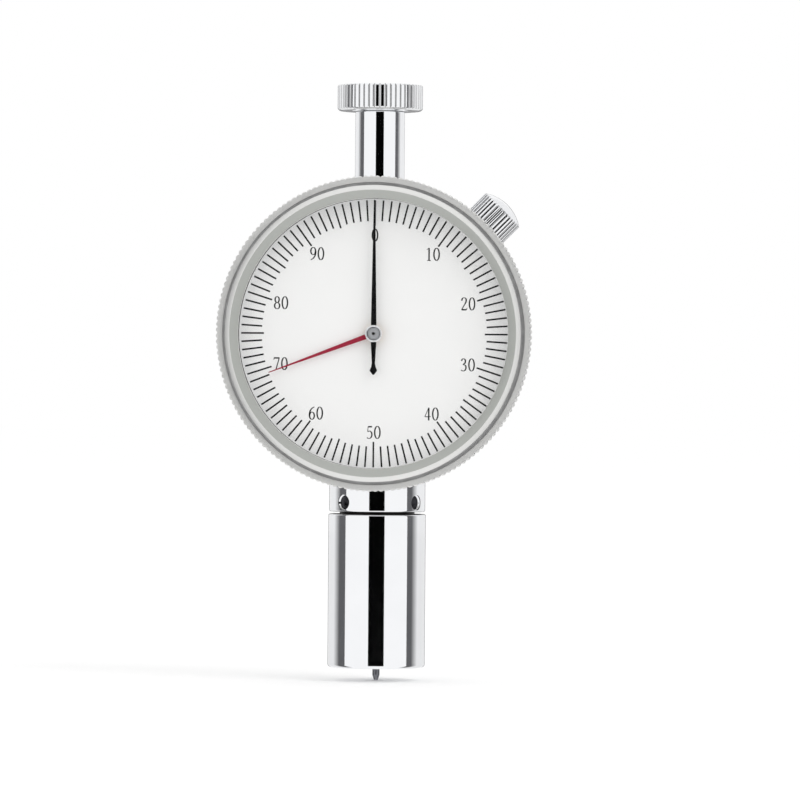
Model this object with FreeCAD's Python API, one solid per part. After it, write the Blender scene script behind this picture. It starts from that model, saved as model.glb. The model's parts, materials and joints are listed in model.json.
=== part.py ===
import FreeCAD
import Part

import math
import os

# Pocket hardness tester for rubber: a round dial in a turned case, a presser foot tube below it, and a
# stem with a knob above it. The origin is the middle of the presser foot's contact face. +Z runs up the
# plunger, the dial faces -Y, and +X is on the reader's right. All sizes are millimetres.

# Fits
RUNNING = 0.03
SLIP = 0.05
PRESSED = 0.01
CUT_PAST = 1.0

# Scale and plunger
SCALE_TRAVEL = 2.5
INDENTER_OUT = SCALE_TRAVEL
INDENTER_R = 0.7
INDENTER_TIP_R = 0.395
INDENTER_CONE_DEG = 35.0
INDENTER_SOCKET = 5.4
ROD_R = 2.0
ROD_FOOT_GAP = 0.1

# Presser foot tube
FOOT_R = 9.35
FOOT_EDGE = 0.4
FOOT_HOLE_R = 1.5
FOOT_PLATE = 3.5
TUBE_TOP = 29.4
TUBE_TOP_EDGE = 0.25
SPIGOT_STEP = 2.15
SPIGOT_WALL = 1.2
SPIGOT_LENGTH = 3.9

# Collar
COLLAR_INSET = 0.125
COLLAR_GROOVE = 0.5
COLLAR_HEIGHT = 5.7
COLLAR_EDGE = 0.3
SET_SCREW_R = 1.45
SET_SCREW_RISE = 1.8
SET_SCREW_RECESS = 0.75
SET_SCREW_KEY = 1.5
SET_SCREW_KEY_DEPTH = 0.8
SET_SCREW_ANGLES = (-40.5, 58.5, 189.0)
HOLE_SECTORS = 8

# Dial centre and case drum
DRUM_R = 27.5
DRUM_ABOVE_COLLAR = 0.8
DRUM_WALL = 2.2
DRUM_FRONT = -9.3
DRUM_BACK = 8.3
WEB = 1.3
WEB_HOLE_R = 2.2
BEZEL_SEAT_STEP = 0.55
BEZEL_SEAT_DEPTH = 1.4
BEZEL_SEAT_WIDTH = 2.4
CASE_NECK_GAP = 0.3
LOWER_BOSS_INSET = 0.325
UPPER_BOSS_STEP = 1.55
UPPER_BOSS_RISE = 1.0
BOSS_IN_DRUM = 3.0

# Back cover
COVER = 1.2
COVER_EDGE = 0.4
COVER_SCREW_R = 1.0
COVER_SCREW_HEAD_R = 1.9
COVER_SCREW_LENGTH = 5.0
COVER_SCREW_INSET = 4.1
COVER_SCREW_ANGLES = (45.0, 135.0, 225.0, 315.0)
COVER_BOSS_R = 2.3
COVER_BOSS_LENGTH = 7.0
SCREW_TIP_GAP = 0.3
SCREW_SLOT = 0.5
SCREW_SLOT_DEPTH = 0.45
CAP_RUNS = 3
TAPPED_END = 0.6

# Stem and top knob
STEM_R = 4.75
STEM_LENGTH = 14.3
STEM_SPIGOT_STEP = 1.25
STEM_SPIGOT_LENGTH = 4.0
STEM_EDGE = 0.2
TOP_KNOB_R = 8.2
TOP_KNOB_HEIGHT = 5.05
TOP_KNOB_EDGE = 0.45
TOP_KNOB_RIDGE_COUNT = 50
TOP_KNOB_GROOVE_DEPTH = 0.35
STUD_R = 2.0
STUD_IN_STEM = 6.0
STUD_IN_KNOB = 3.6

# Bezel, crystal and dial
BEZEL_RIDGE_COUNT = 168
BEZEL_GROOVE_DEPTH = 0.3
BEZEL_RIDGE = 0.45
BEZEL_GAP = 0.2
BEZEL_BAND = 0.85
BEZEL_GROOVE = 0.75
BEZEL_BEAD = 0.85
BEZEL_SLOPE = 1.5
BEZEL_LIP_WIDTH = 0.7
BEZEL_DEPTH = 6.7
KNURL_MARGIN = 0.55
BEZEL_BAND_DEPTH = 4.6
BEZEL_EDGE = 0.35
BEZEL_STEP = 0.35
BEZEL_BEAD_EDGE = 0.3
BEZEL_LIP = 0.4
CRYSTAL_INSET = 0.65
CRYSTAL = 1.0
GASKET = 0.3
GASKET_PAST_LIP = 0.1
SPACER_WALL = 0.5
DIAL = 0.4
DIAL_GAP = 0.2
DIAL_HOLE_R = 1.5
HAND_SPACE = 2.2
SNAP_RING_WIDTH = 0.6
SNAP_RING_IN_SEAT = 0.35
SNAP_RING_IN_BEZEL = 0.2
SNAP_RING_GAP = 9.0

# Gear train
RACK_PINION_TEETH = 16
WHEEL_TEETH = 80
CENTRE_TEETH = 20
TAKEUP_TEETH = 60
TAKEUP_DEG = 125.0
PINION_MOST_TEETH = 30
TIP_HEIGHT = 0.9
ROOT_DEPTH = 1.2
TIP_HALF = 0.11
PITCH_HALF = 0.2
ROOT_HALF = 0.27
RACK_PITCH_LINE = 1.6
RACK_PINION_WIDTH = 3.0
WHEEL = 0.8
WHEEL_GAP = 0.2
PINION_OVERHANG = 0.1
ARBOR_R = 0.5
ARBOR_SHOULDER_R = 0.9
ARBOR_END_PLAY = 0.15
PIVOT_STANDS_OUT = 0.2
HAIRSPRING_TURNS = 3.5
HAIRSPRING_STRIP = 0.12
HAIRSPRING_WIDTH = 0.5
HAIRSPRING_COLLET_R = 1.1
HAIRSPRING_R = 4.4
HAIRSPRING_STUD_R = 0.6
HAIRSPRING_SIDE_ROOM = 0.25

# Movement frame
PLATE_R = 16.0
PLATE = 0.8
REAR_PLATE = 1.0
FRONT_PLATE_FACE = -4.2
PLATE_SPACE = 7.6
PILLAR_R = 1.6
PILLAR_PLACES = ((12.0, -5.0), (-13.5, -3.0), (2.5, 12.5))
POST_R = 2.2
MOVEMENT_SCREW_R = 0.8
MOVEMENT_SCREW_HEAD_R = 1.5
MOVEMENT_SCREW_HEAD = 1.1
MOVEMENT_SCREW_GRIP = 2.6

# Peak hand drive
KNOB_Y = -4.4
KNOB_DEG = 45.0
CROWN_PITCH_R = 8.0
CROWN_TEETH = 40
CROWN_WIDTH = 1.2
CROWN_TOOTH_INSET = 0.1
CROWN = 0.8
RESET_PINION_TEETH = 10
RESET_SHAFT_R = 1.0
RESET_KNOB_R = 4.6
RESET_KNOB_OFF_DRUM = 0.8
RESET_KNOB_LENGTH = 5.8
RESET_KNOB_DOME = 1.3
RESET_KNOB_RIDGE_COUNT = 36
RESET_KNOB_GROOVE_DEPTH = 0.3
RESET_KNOB_FLOOR = 1.6
RESET_KNOB_EDGE = 0.3
RESET_KNOB_GAP = 0.2
KNOB_BUSH_R = 2.4
KNOB_BUSH_FLANGE_R = 3.3
KNOB_BUSH_FLANGE = 0.7
KNOB_NUT = 1.6
KNOB_NUT_FLATS = 6.0
KNOB_BUSH_PAST_NUT = 0.4
KNOB_PAD_R = 4.2
KNOB_PAD_INSIDE = 0.6
BEARING_BLOCK_AT = 11.6
BEARING_BLOCK = 2.4
BEARING_BLOCK_WIDTH = 4.4
PINION_ROOM = 0.45
RETAINING_RING_R = 1.7
RETAINING_RING = 0.5
RETAINING_GROOVE = 0.25
RETAINING_MOUTH_DEG = 106.0
CENTRE_BUSH_R = 0.95
CENTRE_BUSH_FLANGE_R = 2.6
CENTRE_BUSH_FLANGE = 0.7
CENTRE_BUSH_SPIGOT_R = 1.6
SLEEVE_R = 1.45
SLEEVE_FLANGE_R = 2.6
SLEEVE_FLANGE = 0.5
SLEEVE_END_PLAY = 0.1

# Hands
HAND = 0.15
PEAK_HAND_ABOVE_DIAL = 0.9
MAIN_HAND_ABOVE_PEAK = 0.45
PEAK_READING = 69.3
MAIN_HAND_TIP_ROOM = 0.4
MAIN_HAND_TIP_WIDTH = 0.26
MAIN_HAND_ROOT_WIDTH = 1.05
MAIN_TAIL_LENGTH = 7.8
MAIN_TAIL_NECK_WIDTH = 0.6
MAIN_TAIL_SPADE_START = 5.4
MAIN_TAIL_SPADE_AT = 7.0
MAIN_TAIL_SPADE_WIDTH = 1.46
MAIN_TAIL_POINT_WIDTH = 0.5
PEAK_HAND_SHORTER = 4.0
PEAK_HAND_TIP_WIDTH = 0.16
PEAK_HAND_ROOT_WIDTH = 0.95
HUB_R = 1.65
HUB_PLATE_R = 1.55
HUB_BOSS_R = 1.5
HUB_BOSS = 0.3
HUB_SPIGOT_R = 1.07
HUB_CAP_R = 1.18
HUB_CAP_RISE = 0.5
HUB_RING = 0.2
HUB_RING_EDGE = 0.08

# Main spring and its seats
GUIDE_BUSH = 2.8
CLIP = 0.5
CLIP_STANDS_OUT = 1.4
CLIP_GROOVE = 0.4
SEAT = 1.3
SEAT_ROOM = 1.4
SEAT_RIM = 1.0
SPRING_WIRE_R = 0.45
SPRING_LENGTH = 15.7
SPRING_PITCH = 2.15
SPRING_STEP_COUNT = 10
ADJUSTER = 3.1
ADJUSTER_SLOT = 1.0
ADJUSTER_ROOM = 0.2
UPPER_GUIDE_R = 3.6
UPPER_GUIDE_BELOW_WHEEL = 1.14
GUIDE_PIN_R = 0.5
GUIDE_PIN_BELOW_TOP = 3.6
GUIDE_PIN_PAST_BUSH = 0.3
GUIDE_PIN_START = 1.0
RACK_SPARE_TEETH = 3.2
ROD_BELOW_CENTRE = 6.7

# Sizes that follow from the ones above
SPIGOT_R = FOOT_R - SPIGOT_STEP
TUBE_BORE_R = SPIGOT_R - SPIGOT_WALL
COLLAR_R = FOOT_R - COLLAR_INSET
COLLAR_BOTTOM = TUBE_TOP + COLLAR_GROOVE
COLLAR_TOP = COLLAR_BOTTOM + COLLAR_HEIGHT
DIAL_Z = COLLAR_TOP + DRUM_ABOVE_COLLAR + DRUM_R
DRUM_BORE_R = DRUM_R - DRUM_WALL
LOWER_BOSS_R = COLLAR_R - LOWER_BOSS_INSET
UPPER_BOSS_R = STEM_R + UPPER_BOSS_STEP
STEM_SPIGOT_R = STEM_R - STEM_SPIGOT_STEP
STEM_SEAT = DIAL_Z + DRUM_R + UPPER_BOSS_RISE
STEM_TOP = STEM_SEAT + STEM_LENGTH
COVER_SCREW_CIRCLE_R = DRUM_R - COVER_SCREW_INSET
RESET_KNOB_BASE = DRUM_R + RESET_KNOB_OFF_DRUM
RESET_KNOB_END = RESET_KNOB_BASE + RESET_KNOB_LENGTH
BEZEL_SEAT_R = DRUM_R - BEZEL_SEAT_STEP
CRYSTAL_R = BEZEL_SEAT_R - CRYSTAL_INSET
BEZEL_LIP_R = CRYSTAL_R - BEZEL_LIP_WIDTH
BEZEL_BEAD_INNER_R = BEZEL_LIP_R + BEZEL_SLOPE
BEZEL_BEAD_OUTER_R = BEZEL_BEAD_INNER_R + BEZEL_BEAD
BEZEL_FRONT_BAND_R = BEZEL_BEAD_OUTER_R + BEZEL_GROOVE
BEZEL_ROOT_R = BEZEL_FRONT_BAND_R + BEZEL_BAND
BEZEL_R = BEZEL_ROOT_R + BEZEL_RIDGE
MAIN_HAND_LENGTH = CRYSTAL_R - SPACER_WALL - MAIN_HAND_TIP_ROOM
PEAK_HAND_LENGTH = MAIN_HAND_LENGTH - PEAK_HAND_SHORTER
SEAT_R = TUBE_BORE_R - SEAT_ROOM
SPRING_R = SEAT_R - SEAT_RIM
CLIP_R = ROD_R + CLIP_STANDS_OUT
GUIDE_PIN_REACH = UPPER_GUIDE_R + GUIDE_PIN_PAST_BUSH
RACK_PITCH = SCALE_TRAVEL * WHEEL_TEETH / CENTRE_TEETH / RACK_PINION_TEETH
MODULE = RACK_PITCH / math.pi
RACK_PINION_PITCH_R = MODULE * RACK_PINION_TEETH / 2
RACK_ARBOR_X = -(RACK_PITCH_LINE + RACK_PINION_PITCH_R)
TRAIN_DISTANCE = MODULE * (WHEEL_TEETH + CENTRE_TEETH) / 2
RACK_ARBOR_DZ = -math.sqrt(TRAIN_DISTANCE ** 2 - RACK_ARBOR_X ** 2)
RACK_ARBOR_Z = DIAL_Z + RACK_ARBOR_DZ
WHEEL_TIP_R = MODULE * (WHEEL_TEETH / 2 + TIP_HEIGHT)
UPPER_GUIDE_TOP = RACK_ARBOR_Z - WHEEL_TIP_R - UPPER_GUIDE_BELOW_WHEEL
GUIDE_PIN_Z = UPPER_GUIDE_TOP - GUIDE_PIN_BELOW_TOP
ROD_TOP = DIAL_Z - ROD_BELOW_CENTRE
TAKEUP_DISTANCE = MODULE * (TAKEUP_TEETH + CENTRE_TEETH) / 2
TAKEUP_X = TAKEUP_DISTANCE * math.cos(math.radians(TAKEUP_DEG))
TAKEUP_Z = DIAL_Z + TAKEUP_DISTANCE * math.sin(math.radians(TAKEUP_DEG))
CROWN_MODULE = 2 * CROWN_PITCH_R / CROWN_TEETH
RESET_PINION_PITCH_R = CROWN_MODULE * RESET_PINION_TEETH / 2
FRONT_PLATE_REAR = FRONT_PLATE_FACE + PLATE
REAR_PLATE_FACE = FRONT_PLATE_REAR + PLATE_SPACE
REAR_PLATE_REAR = REAR_PLATE_FACE + REAR_PLATE
WHEEL_FRONT = FRONT_PLATE_REAR + WHEEL_GAP
WHEEL_REAR = WHEEL_FRONT + WHEEL
WEB_REAR = DRUM_FRONT + WEB
SEAT_FRONT = DRUM_FRONT - BEZEL_SEAT_DEPTH
BEZEL_REAR = DRUM_FRONT - BEZEL_GAP
BEZEL_FRONT = BEZEL_REAR - BEZEL_DEPTH
DIAL_REAR = SEAT_FRONT - DIAL_GAP
DIAL_FACE = DIAL_REAR - DIAL
GASKET_REAR = DIAL_FACE - HAND_SPACE
CRYSTAL_REAR = GASKET_REAR - GASKET
CRYSTAL_FRONT = CRYSTAL_REAR - CRYSTAL
PEAK_HAND_REAR = DIAL_FACE - PEAK_HAND_ABOVE_DIAL
PEAK_HAND_FRONT = PEAK_HAND_REAR - HAND
MAIN_HAND_REAR = PEAK_HAND_FRONT - MAIN_HAND_ABOVE_PEAK
MAIN_HAND_FRONT = MAIN_HAND_REAR - HAND
NECK_BOTTOM = TUBE_TOP + SPIGOT_LENGTH + CASE_NECK_GAP
CLIP_BOTTOM = FOOT_PLATE + GUIDE_BUSH + ROD_FOOT_GAP
SEAT_BOTTOM = CLIP_BOTTOM + CLIP
SPRING_BOTTOM = SEAT_BOTTOM + SEAT
SPRING_TOP = SPRING_BOTTOM + SPRING_LENGTH
PEAK_DEG = 90.0 - PEAK_READING * 3.6

ALONG_Y = FreeCAD.Vector(0, 1, 0)
ALONG_Z = FreeCAD.Vector(0, 0, 1)


def vec(x, y, z):
    return FreeCAD.Vector(x, y, z)


def upright(radius, low, high, x=0.0, y=0.0):
    """A cylinder along Z from one height to another."""
    return Part.makeCylinder(radius, high - low, vec(x, y, low), ALONG_Z)


def lying(radius, front, rear, x=0.0, z=DIAL_Z):
    """A cylinder along Y, from its front face to its rear face."""
    return Part.makeCylinder(radius, rear - front, vec(x, front, z), ALONG_Y)


def radial(shape):
    """Lays a piece that was made up the Z axis along the reset shaft, out of the dial centre."""
    angle = math.radians(KNOB_DEG)
    outward = vec(math.cos(angle), 0, math.sin(angle))
    placed = shape.copy()
    # The first turn lets the piece's own -X side face the dial
    to_front = FreeCAD.Rotation(ALONG_Z, 90)
    lean = FreeCAD.Rotation(ALONG_Z, outward)
    side = lean.multVec(to_front.multVec(vec(-1, 0, 0)))
    facing = math.degrees(math.atan2(side.dot(outward.cross(vec(0, -1, 0))), side.dot(vec(0, -1, 0))))
    settle = FreeCAD.Rotation(outward, -facing)
    placed.Placement = FreeCAD.Placement(vec(0, KNOB_Y, DIAL_Z), settle * lean * to_front)
    return placed


def turned(points, axis, centre):
    """Revolves a closed outline about an axis. A point is (radius, along)."""
    corners = [centre + vec(radius, 0, 0) + axis * along for radius, along in points]
    return Part.Face(Part.makePolygon(corners + corners[:1])).revolve(centre, axis, 360)


def turned_y(points, x=0.0, z=DIAL_Z):
    """A piece turned about an axis along Y. Its points are (radius, y)."""
    return turned(points, ALONG_Y, vec(x, 0, z))


def turned_z(points):
    """A piece turned about the plunger's axis. Its points are (radius, z)."""
    return turned(points, ALONG_Z, vec(0, 0, 0))


def crown_of(base_r, base, rise):
    """The outline of a low round cap as a few straight runs, from its edge to its top on the axis. A
    negative rise goes the other way."""
    points = []
    for number in range(1, CAP_RUNS + 1):
        turn = math.pi / 2 * number / CAP_RUNS
        points.append((base_r * math.cos(turn), base + rise * math.sin(turn)))
    points[-1] = (0, base + rise)
    return points


def ring(outer, inner, front, rear, x=0.0, z=DIAL_Z):
    """A ring about an axis along Y."""
    return lying(outer, front, rear, x, z).cut(lying(inner, front, rear, x, z))


def around(count):
    return [2 * math.pi * number / count for number in range(count)]


def tooth_outline(teeth, module, phase_deg):
    """The corners of a gear as (radius, angle): root and tip, and on a pinion the pitch line between."""
    pitch_r = module * teeth / 2
    step = 2 * math.pi / teeth
    flank = [(pitch_r - ROOT_DEPTH * module, ROOT_HALF * step)]
    if teeth <= PINION_MOST_TEETH:
        flank.append((pitch_r, PITCH_HALF * step))
    flank.append((pitch_r + TIP_HEIGHT * module, TIP_HALF * step))
    corners = []
    for middle in around(teeth):
        middle += math.radians(phase_deg)
        corners += [(radius, middle - half) for radius, half in flank]
        corners += [(radius, middle + half) for radius, half in reversed(flank)]
    return corners


def gear(teeth, module, phase_deg, front, rear, x, z):
    """A toothed disc about an axis along Y. The phase is the angle of a tooth, from +X towards +Z."""
    corners = [
        vec(x + radius * math.cos(angle), front, z + radius * math.sin(angle))
        for radius, angle in tooth_outline(teeth, module, phase_deg)
    ]
    face = Part.Face(Part.makePolygon(corners + corners[:1]))
    return face.extrude(ALONG_Y * (rear - front))


def meshing_phase(phase_deg, teeth, direction_deg, mate_teeth):
    """The phase of a mating gear that lies in a direction from this one, with a gap for each tooth."""
    turned_past = (direction_deg - phase_deg) * teeth / 360.0
    return direction_deg + 180.0 - (0.5 - turned_past) * 360.0 / mate_teeth


def knurled_disc(radius, depth, grooves, low, high):
    """A disc along Z with straight pointed ridges round its rim."""
    corners = []
    for angle in around(grooves):
        half = math.pi / grooves
        corners.append(vec(radius * math.cos(angle), radius * math.sin(angle), low))
        root = radius - depth
        corners.append(vec(root * math.cos(angle + half), root * math.sin(angle + half), low))
    face = Part.Face(Part.makePolygon(corners + corners[:1]))
    return face.extrude(ALONG_Z * (high - low))


def hexagon(flats, low, high):
    """A hexagonal prism along Z."""
    radius = flats / math.sqrt(3)
    corners = [vec(radius * math.cos(a), radius * math.sin(a), low) for a in around(6)]
    return Part.Face(Part.makePolygon(corners + corners[:1])).extrude(ALONG_Z * (high - low))


def hand_plate(outline, eye_r, front, rear, angle_deg):
    """A flat hand from half widths along its length, with its eye, pointing up before it is turned."""
    right = [vec(half, front, DIAL_Z + along) for along, half in outline]
    left = [vec(-half, front, DIAL_Z + along) for along, half in reversed(outline)]
    corners = right + left
    blade = Part.Face(Part.makePolygon(corners + corners[:1])).extrude(ALONG_Y * (rear - front))
    plate = blade.fuse(lying(HUB_PLATE_R, front, rear)).cut(lying(eye_r, front, rear)).removeSplitter()
    plate.rotate(vec(0, 0, DIAL_Z), ALONG_Y, 90.0 - angle_deg)
    return plate


# Presser foot, plunger and spring


def presser_foot_tube():
    spigot_top = TUBE_TOP + SPIGOT_LENGTH
    edge = FOOT_EDGE * (1 - math.sqrt(0.5))
    return turned_z(
        [
            (FOOT_HOLE_R, 0),
            (FOOT_R - FOOT_EDGE, 0),
            (FOOT_R - edge, edge),
            (FOOT_R, FOOT_EDGE),
            (FOOT_R, TUBE_TOP - TUBE_TOP_EDGE),
            (FOOT_R - TUBE_TOP_EDGE, TUBE_TOP),
            (SPIGOT_R, TUBE_TOP),
            (SPIGOT_R, spigot_top),
            (TUBE_BORE_R, spigot_top),
            (TUBE_BORE_R, FOOT_PLATE),
            (FOOT_HOLE_R, FOOT_PLATE),
        ]
    )


def indenter():
    half_cone = math.radians(INDENTER_CONE_DEG / 2)
    cone = (INDENTER_R - INDENTER_TIP_R) / math.tan(half_cone)
    top = FOOT_PLATE + ROD_FOOT_GAP + INDENTER_SOCKET
    return turned_z(
        [
            (0, -INDENTER_OUT),
            (INDENTER_TIP_R, -INDENTER_OUT),
            (INDENTER_R, cone - INDENTER_OUT),
            (INDENTER_R, top),
            (0, top),
        ]
    )


def plunger_rod():
    bottom = FOOT_PLATE + ROD_FOOT_GAP
    rod = upright(ROD_R, bottom, ROD_TOP)
    rod = rod.cut(upright(INDENTER_R + PRESSED, bottom, bottom + INDENTER_SOCKET + SLIP))
    groove = upright(ROD_R + CUT_PAST, CLIP_BOTTOM, SEAT_BOTTOM)
    groove = groove.cut(upright(ROD_R - CLIP_GROOVE, CLIP_BOTTOM, SEAT_BOTTOM))
    rod = rod.cut(groove)
    rod = rod.cut(pin_hole())
    return rod.cut(rack_gaps())


def pin_hole():
    depth = ROD_R + CUT_PAST - GUIDE_PIN_START
    return Part.makeCylinder(GUIDE_PIN_R + PRESSED, depth, vec(0, GUIDE_PIN_START, GUIDE_PIN_Z), ALONG_Y)


def rack_gaps():
    """What is cut off the rod's left side: a flat down to the tooth tips, then the gaps."""
    tip_x = -(RACK_PITCH_LINE + TIP_HEIGHT * MODULE)
    root_x = -(RACK_PITCH_LINE - ROOT_DEPTH * MODULE)
    below = SCALE_TRAVEL + RACK_SPARE_TEETH * RACK_PITCH
    start = RACK_ARBOR_Z - below
    outside = -(ROD_R + CUT_PAST)
    cutter = Part.makeBox(tip_x - outside, 2 * ROD_R, ROD_TOP - start, vec(outside, -ROD_R, start))
    wide = (0.5 - TIP_HALF) * RACK_PITCH
    narrow = (0.5 - ROOT_HALF) * RACK_PITCH
    lowest = math.ceil(0.5 - below / RACK_PITCH)
    highest = math.floor((ROD_TOP - RACK_ARBOR_Z) / RACK_PITCH - 0.5)
    gaps = []
    for number in range(lowest, highest + 1):
        middle = RACK_ARBOR_Z + number * RACK_PITCH
        corners = [
            vec(outside, -ROD_R, middle - wide),
            vec(tip_x, -ROD_R, middle - wide),
            vec(root_x, -ROD_R, middle - narrow),
            vec(root_x, -ROD_R, middle + narrow),
            vec(tip_x, -ROD_R, middle + wide),
            vec(outside, -ROD_R, middle + wide),
        ]
        face = Part.Face(Part.makePolygon(corners + corners[:1]))
        gaps.append(face.extrude(ALONG_Y * 2 * ROD_R))
    return cutter.fuse(gaps)


def seat_clip():
    clip = upright(CLIP_R, CLIP_BOTTOM, SEAT_BOTTOM)
    clip = clip.cut(upright(ROD_R - CLIP_GROOVE + PRESSED, CLIP_BOTTOM, SEAT_BOTTOM))
    mouth = ROD_R - CLIP_GROOVE
    return clip.cut(Part.makeBox(2 * mouth, CLIP_R + CUT_PAST, CLIP, vec(-mouth, 0, CLIP_BOTTOM)))


def spring_seat():
    lip_r = (SPRING_R - SPRING_WIRE_R) * math.cos(math.pi / SPRING_STEP_COUNT) - SLIP
    return turned_z(
        [
            (ROD_R + PRESSED, SEAT_BOTTOM),
            (SEAT_R, SEAT_BOTTOM),
            (SEAT_R, SPRING_BOTTOM),
            (lip_r, SPRING_BOTTOM),
            (lip_r, SPRING_BOTTOM + SPRING_WIRE_R),
            (ROD_R + PRESSED, SPRING_BOTTOM + SPRING_WIRE_R),
        ]
    )


def main_spring():
    """A helical spring with its two ends ground flat, lofted through cross-sections of the wire."""
    height = SPRING_LENGTH
    steps = round(height / SPRING_PITCH * SPRING_STEP_COUNT)
    slope = math.atan2(SPRING_PITCH, 2 * math.pi * SPRING_R)
    sections = []
    for number in range(steps + 1):
        angle = 2 * math.pi * number / SPRING_STEP_COUNT
        outward = vec(math.cos(angle), math.sin(angle), 0)
        forward = vec(-math.sin(angle), math.cos(angle), 0)
        upward = ALONG_Z * math.cos(slope) - forward * math.sin(slope)
        middle = outward * SPRING_R + vec(0, 0, SPRING_BOTTOM + height * number / steps)
        corners = []
        for turn in around(6):
            corners.append(middle + (outward * math.cos(turn) + upward * math.sin(turn)) * SPRING_WIRE_R)
        sections.append(Part.makePolygon(corners + corners[:1]))
    coil = Part.makeLoft(sections, True, True)
    room = 2 * SPRING_R
    slab = Part.makeBox(2 * room, 2 * room, SPRING_LENGTH, vec(-room, -room, SPRING_BOTTOM))
    return coil.common(slab)


def foot_guide_bush():
    return upright(TUBE_BORE_R - SLIP, FOOT_PLATE, FOOT_PLATE + GUIDE_BUSH).cut(
        upright(ROD_R + RUNNING, FOOT_PLATE, FOOT_PLATE + GUIDE_BUSH)
    )


def spring_adjuster():
    top = SPRING_TOP + ADJUSTER
    nut = upright(TUBE_BORE_R - SLIP, SPRING_TOP, top)
    nut = nut.cut(upright(ROD_R + ADJUSTER_ROOM, SPRING_TOP, top))
    corner = vec(-TUBE_BORE_R, -ADJUSTER_SLOT / 2, top - ADJUSTER_SLOT)
    return nut.cut(Part.makeBox(2 * TUBE_BORE_R, ADJUSTER_SLOT, ADJUSTER_SLOT, corner))


def upper_guide_bush():
    """The rod's upper guide. A slot in its rear wall keeps the guide pin, and so the rod, from turning."""
    bush = upright(UPPER_GUIDE_R, NECK_BOTTOM, UPPER_GUIDE_TOP)
    bush = bush.cut(upright(ROD_R + RUNNING, NECK_BOTTOM, UPPER_GUIDE_TOP))
    half = GUIDE_PIN_R + SLIP
    low = GUIDE_PIN_Z - half
    height = UPPER_GUIDE_TOP - low
    return bush.cut(Part.makeBox(2 * half, UPPER_GUIDE_R + CUT_PAST, height, vec(-half, 0, low)))


def rod_guide_pin():
    length = GUIDE_PIN_REACH - GUIDE_PIN_START
    return Part.makeCylinder(GUIDE_PIN_R, length, vec(0, GUIDE_PIN_START, GUIDE_PIN_Z), ALONG_Y)


# Collar


def set_screw_place(angle_deg, distance):
    """Lays a piece along a set screw, from a distance off the tube's axis outwards."""
    angle = math.radians(angle_deg)
    outward = vec(math.sin(angle), -math.cos(angle), 0)
    height = COLLAR_BOTTOM + SET_SCREW_RISE
    upward_first = FreeCAD.Rotation(ALONG_Z, vec(0, 0, 0), outward, "ZXY")
    return FreeCAD.Placement(outward * distance + vec(0, 0, height), upward_first)


def sectored_cylinder(radius, length):
    """A cylinder with its wall in equal sectors. Cut across a ring, a whole one leaves faces that gape."""
    arcs = []
    half = math.pi / HOLE_SECTORS
    for middle in around(HOLE_SECTORS):
        ends = (middle - half, middle, middle + half)
        arcs.append(Part.Arc(*[vec(radius * math.cos(a), radius * math.sin(a), 0) for a in ends]).toShape())
    return Part.Face(Part.Wire(arcs)).extrude(ALONG_Z * length)


def tube_collar():
    collar = turned_z(
        [
            (SPIGOT_R + SLIP, COLLAR_BOTTOM),
            (COLLAR_R - COLLAR_EDGE, COLLAR_BOTTOM),
            (COLLAR_R, COLLAR_BOTTOM + COLLAR_EDGE),
            (COLLAR_R, COLLAR_TOP),
            (SPIGOT_R + SLIP, COLLAR_TOP),
        ]
    )
    for angle in SET_SCREW_ANGLES:
        hole = sectored_cylinder(SET_SCREW_R + SLIP, COLLAR_R)
        hole.Placement = set_screw_place(angle, SPIGOT_R - CUT_PAST)
        collar = collar.cut(hole)
    return collar


def collar_set_screws():
    screws = []
    length = COLLAR_R - SET_SCREW_RECESS - SPIGOT_R
    for angle in SET_SCREW_ANGLES:
        screw = Part.makeCylinder(SET_SCREW_R, length)
        screw = screw.cut(hexagon(SET_SCREW_KEY, length - SET_SCREW_KEY_DEPTH, length))
        screw.Placement = set_screw_place(angle, SPIGOT_R)
        screws.append(screw)
    return Part.makeCompound(screws)


# Case


def case():
    """A cup that is open at the back, with the web that carries the movement across its front."""
    seat_inner = BEZEL_SEAT_R - BEZEL_SEAT_WIDTH
    groove_r = BEZEL_SEAT_R - SNAP_RING_IN_SEAT - SLIP
    groove_front, groove_rear = snap_groove()
    body = turned_y(
        [
            (0, DRUM_FRONT),
            (seat_inner, DRUM_FRONT),
            (seat_inner, SEAT_FRONT),
            (BEZEL_SEAT_R, SEAT_FRONT),
            (BEZEL_SEAT_R, groove_front),
            (groove_r, groove_front),
            (groove_r, groove_rear),
            (BEZEL_SEAT_R, groove_rear),
            (BEZEL_SEAT_R, DRUM_FRONT),
            (DRUM_R, DRUM_FRONT),
            (DRUM_R, DRUM_BACK),
            (0, DRUM_BACK),
        ]
    )
    lower = upright(LOWER_BOSS_R, COLLAR_TOP, DIAL_Z - DRUM_R + BOSS_IN_DRUM)
    lower = lower.fuse(upright(SPIGOT_R, NECK_BOTTOM, COLLAR_TOP))
    lower = lower.cut(lower_boss_rear())
    upper = upright(UPPER_BOSS_R, DIAL_Z + DRUM_R - BOSS_IN_DRUM, STEM_SEAT)
    pad = radial(upright(KNOB_PAD_R, DRUM_BORE_R, RESET_KNOB_BASE - RESET_KNOB_GAP))
    body = body.fuse([lower, upper, pad])
    body = body.cut(lying(DRUM_BORE_R, WEB_REAR, DRUM_BACK))
    body = body.fuse(inner_bosses())
    return body.cut(case_holes()).removeSplitter()


def lower_boss_rear():
    """What the lower boss would stand out behind the drum."""
    height = DRUM_R + BOSS_IN_DRUM
    return Part.makeBox(2 * LOWER_BOSS_R, LOWER_BOSS_R, height, vec(-LOWER_BOSS_R, DRUM_BACK, COLLAR_TOP))


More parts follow.
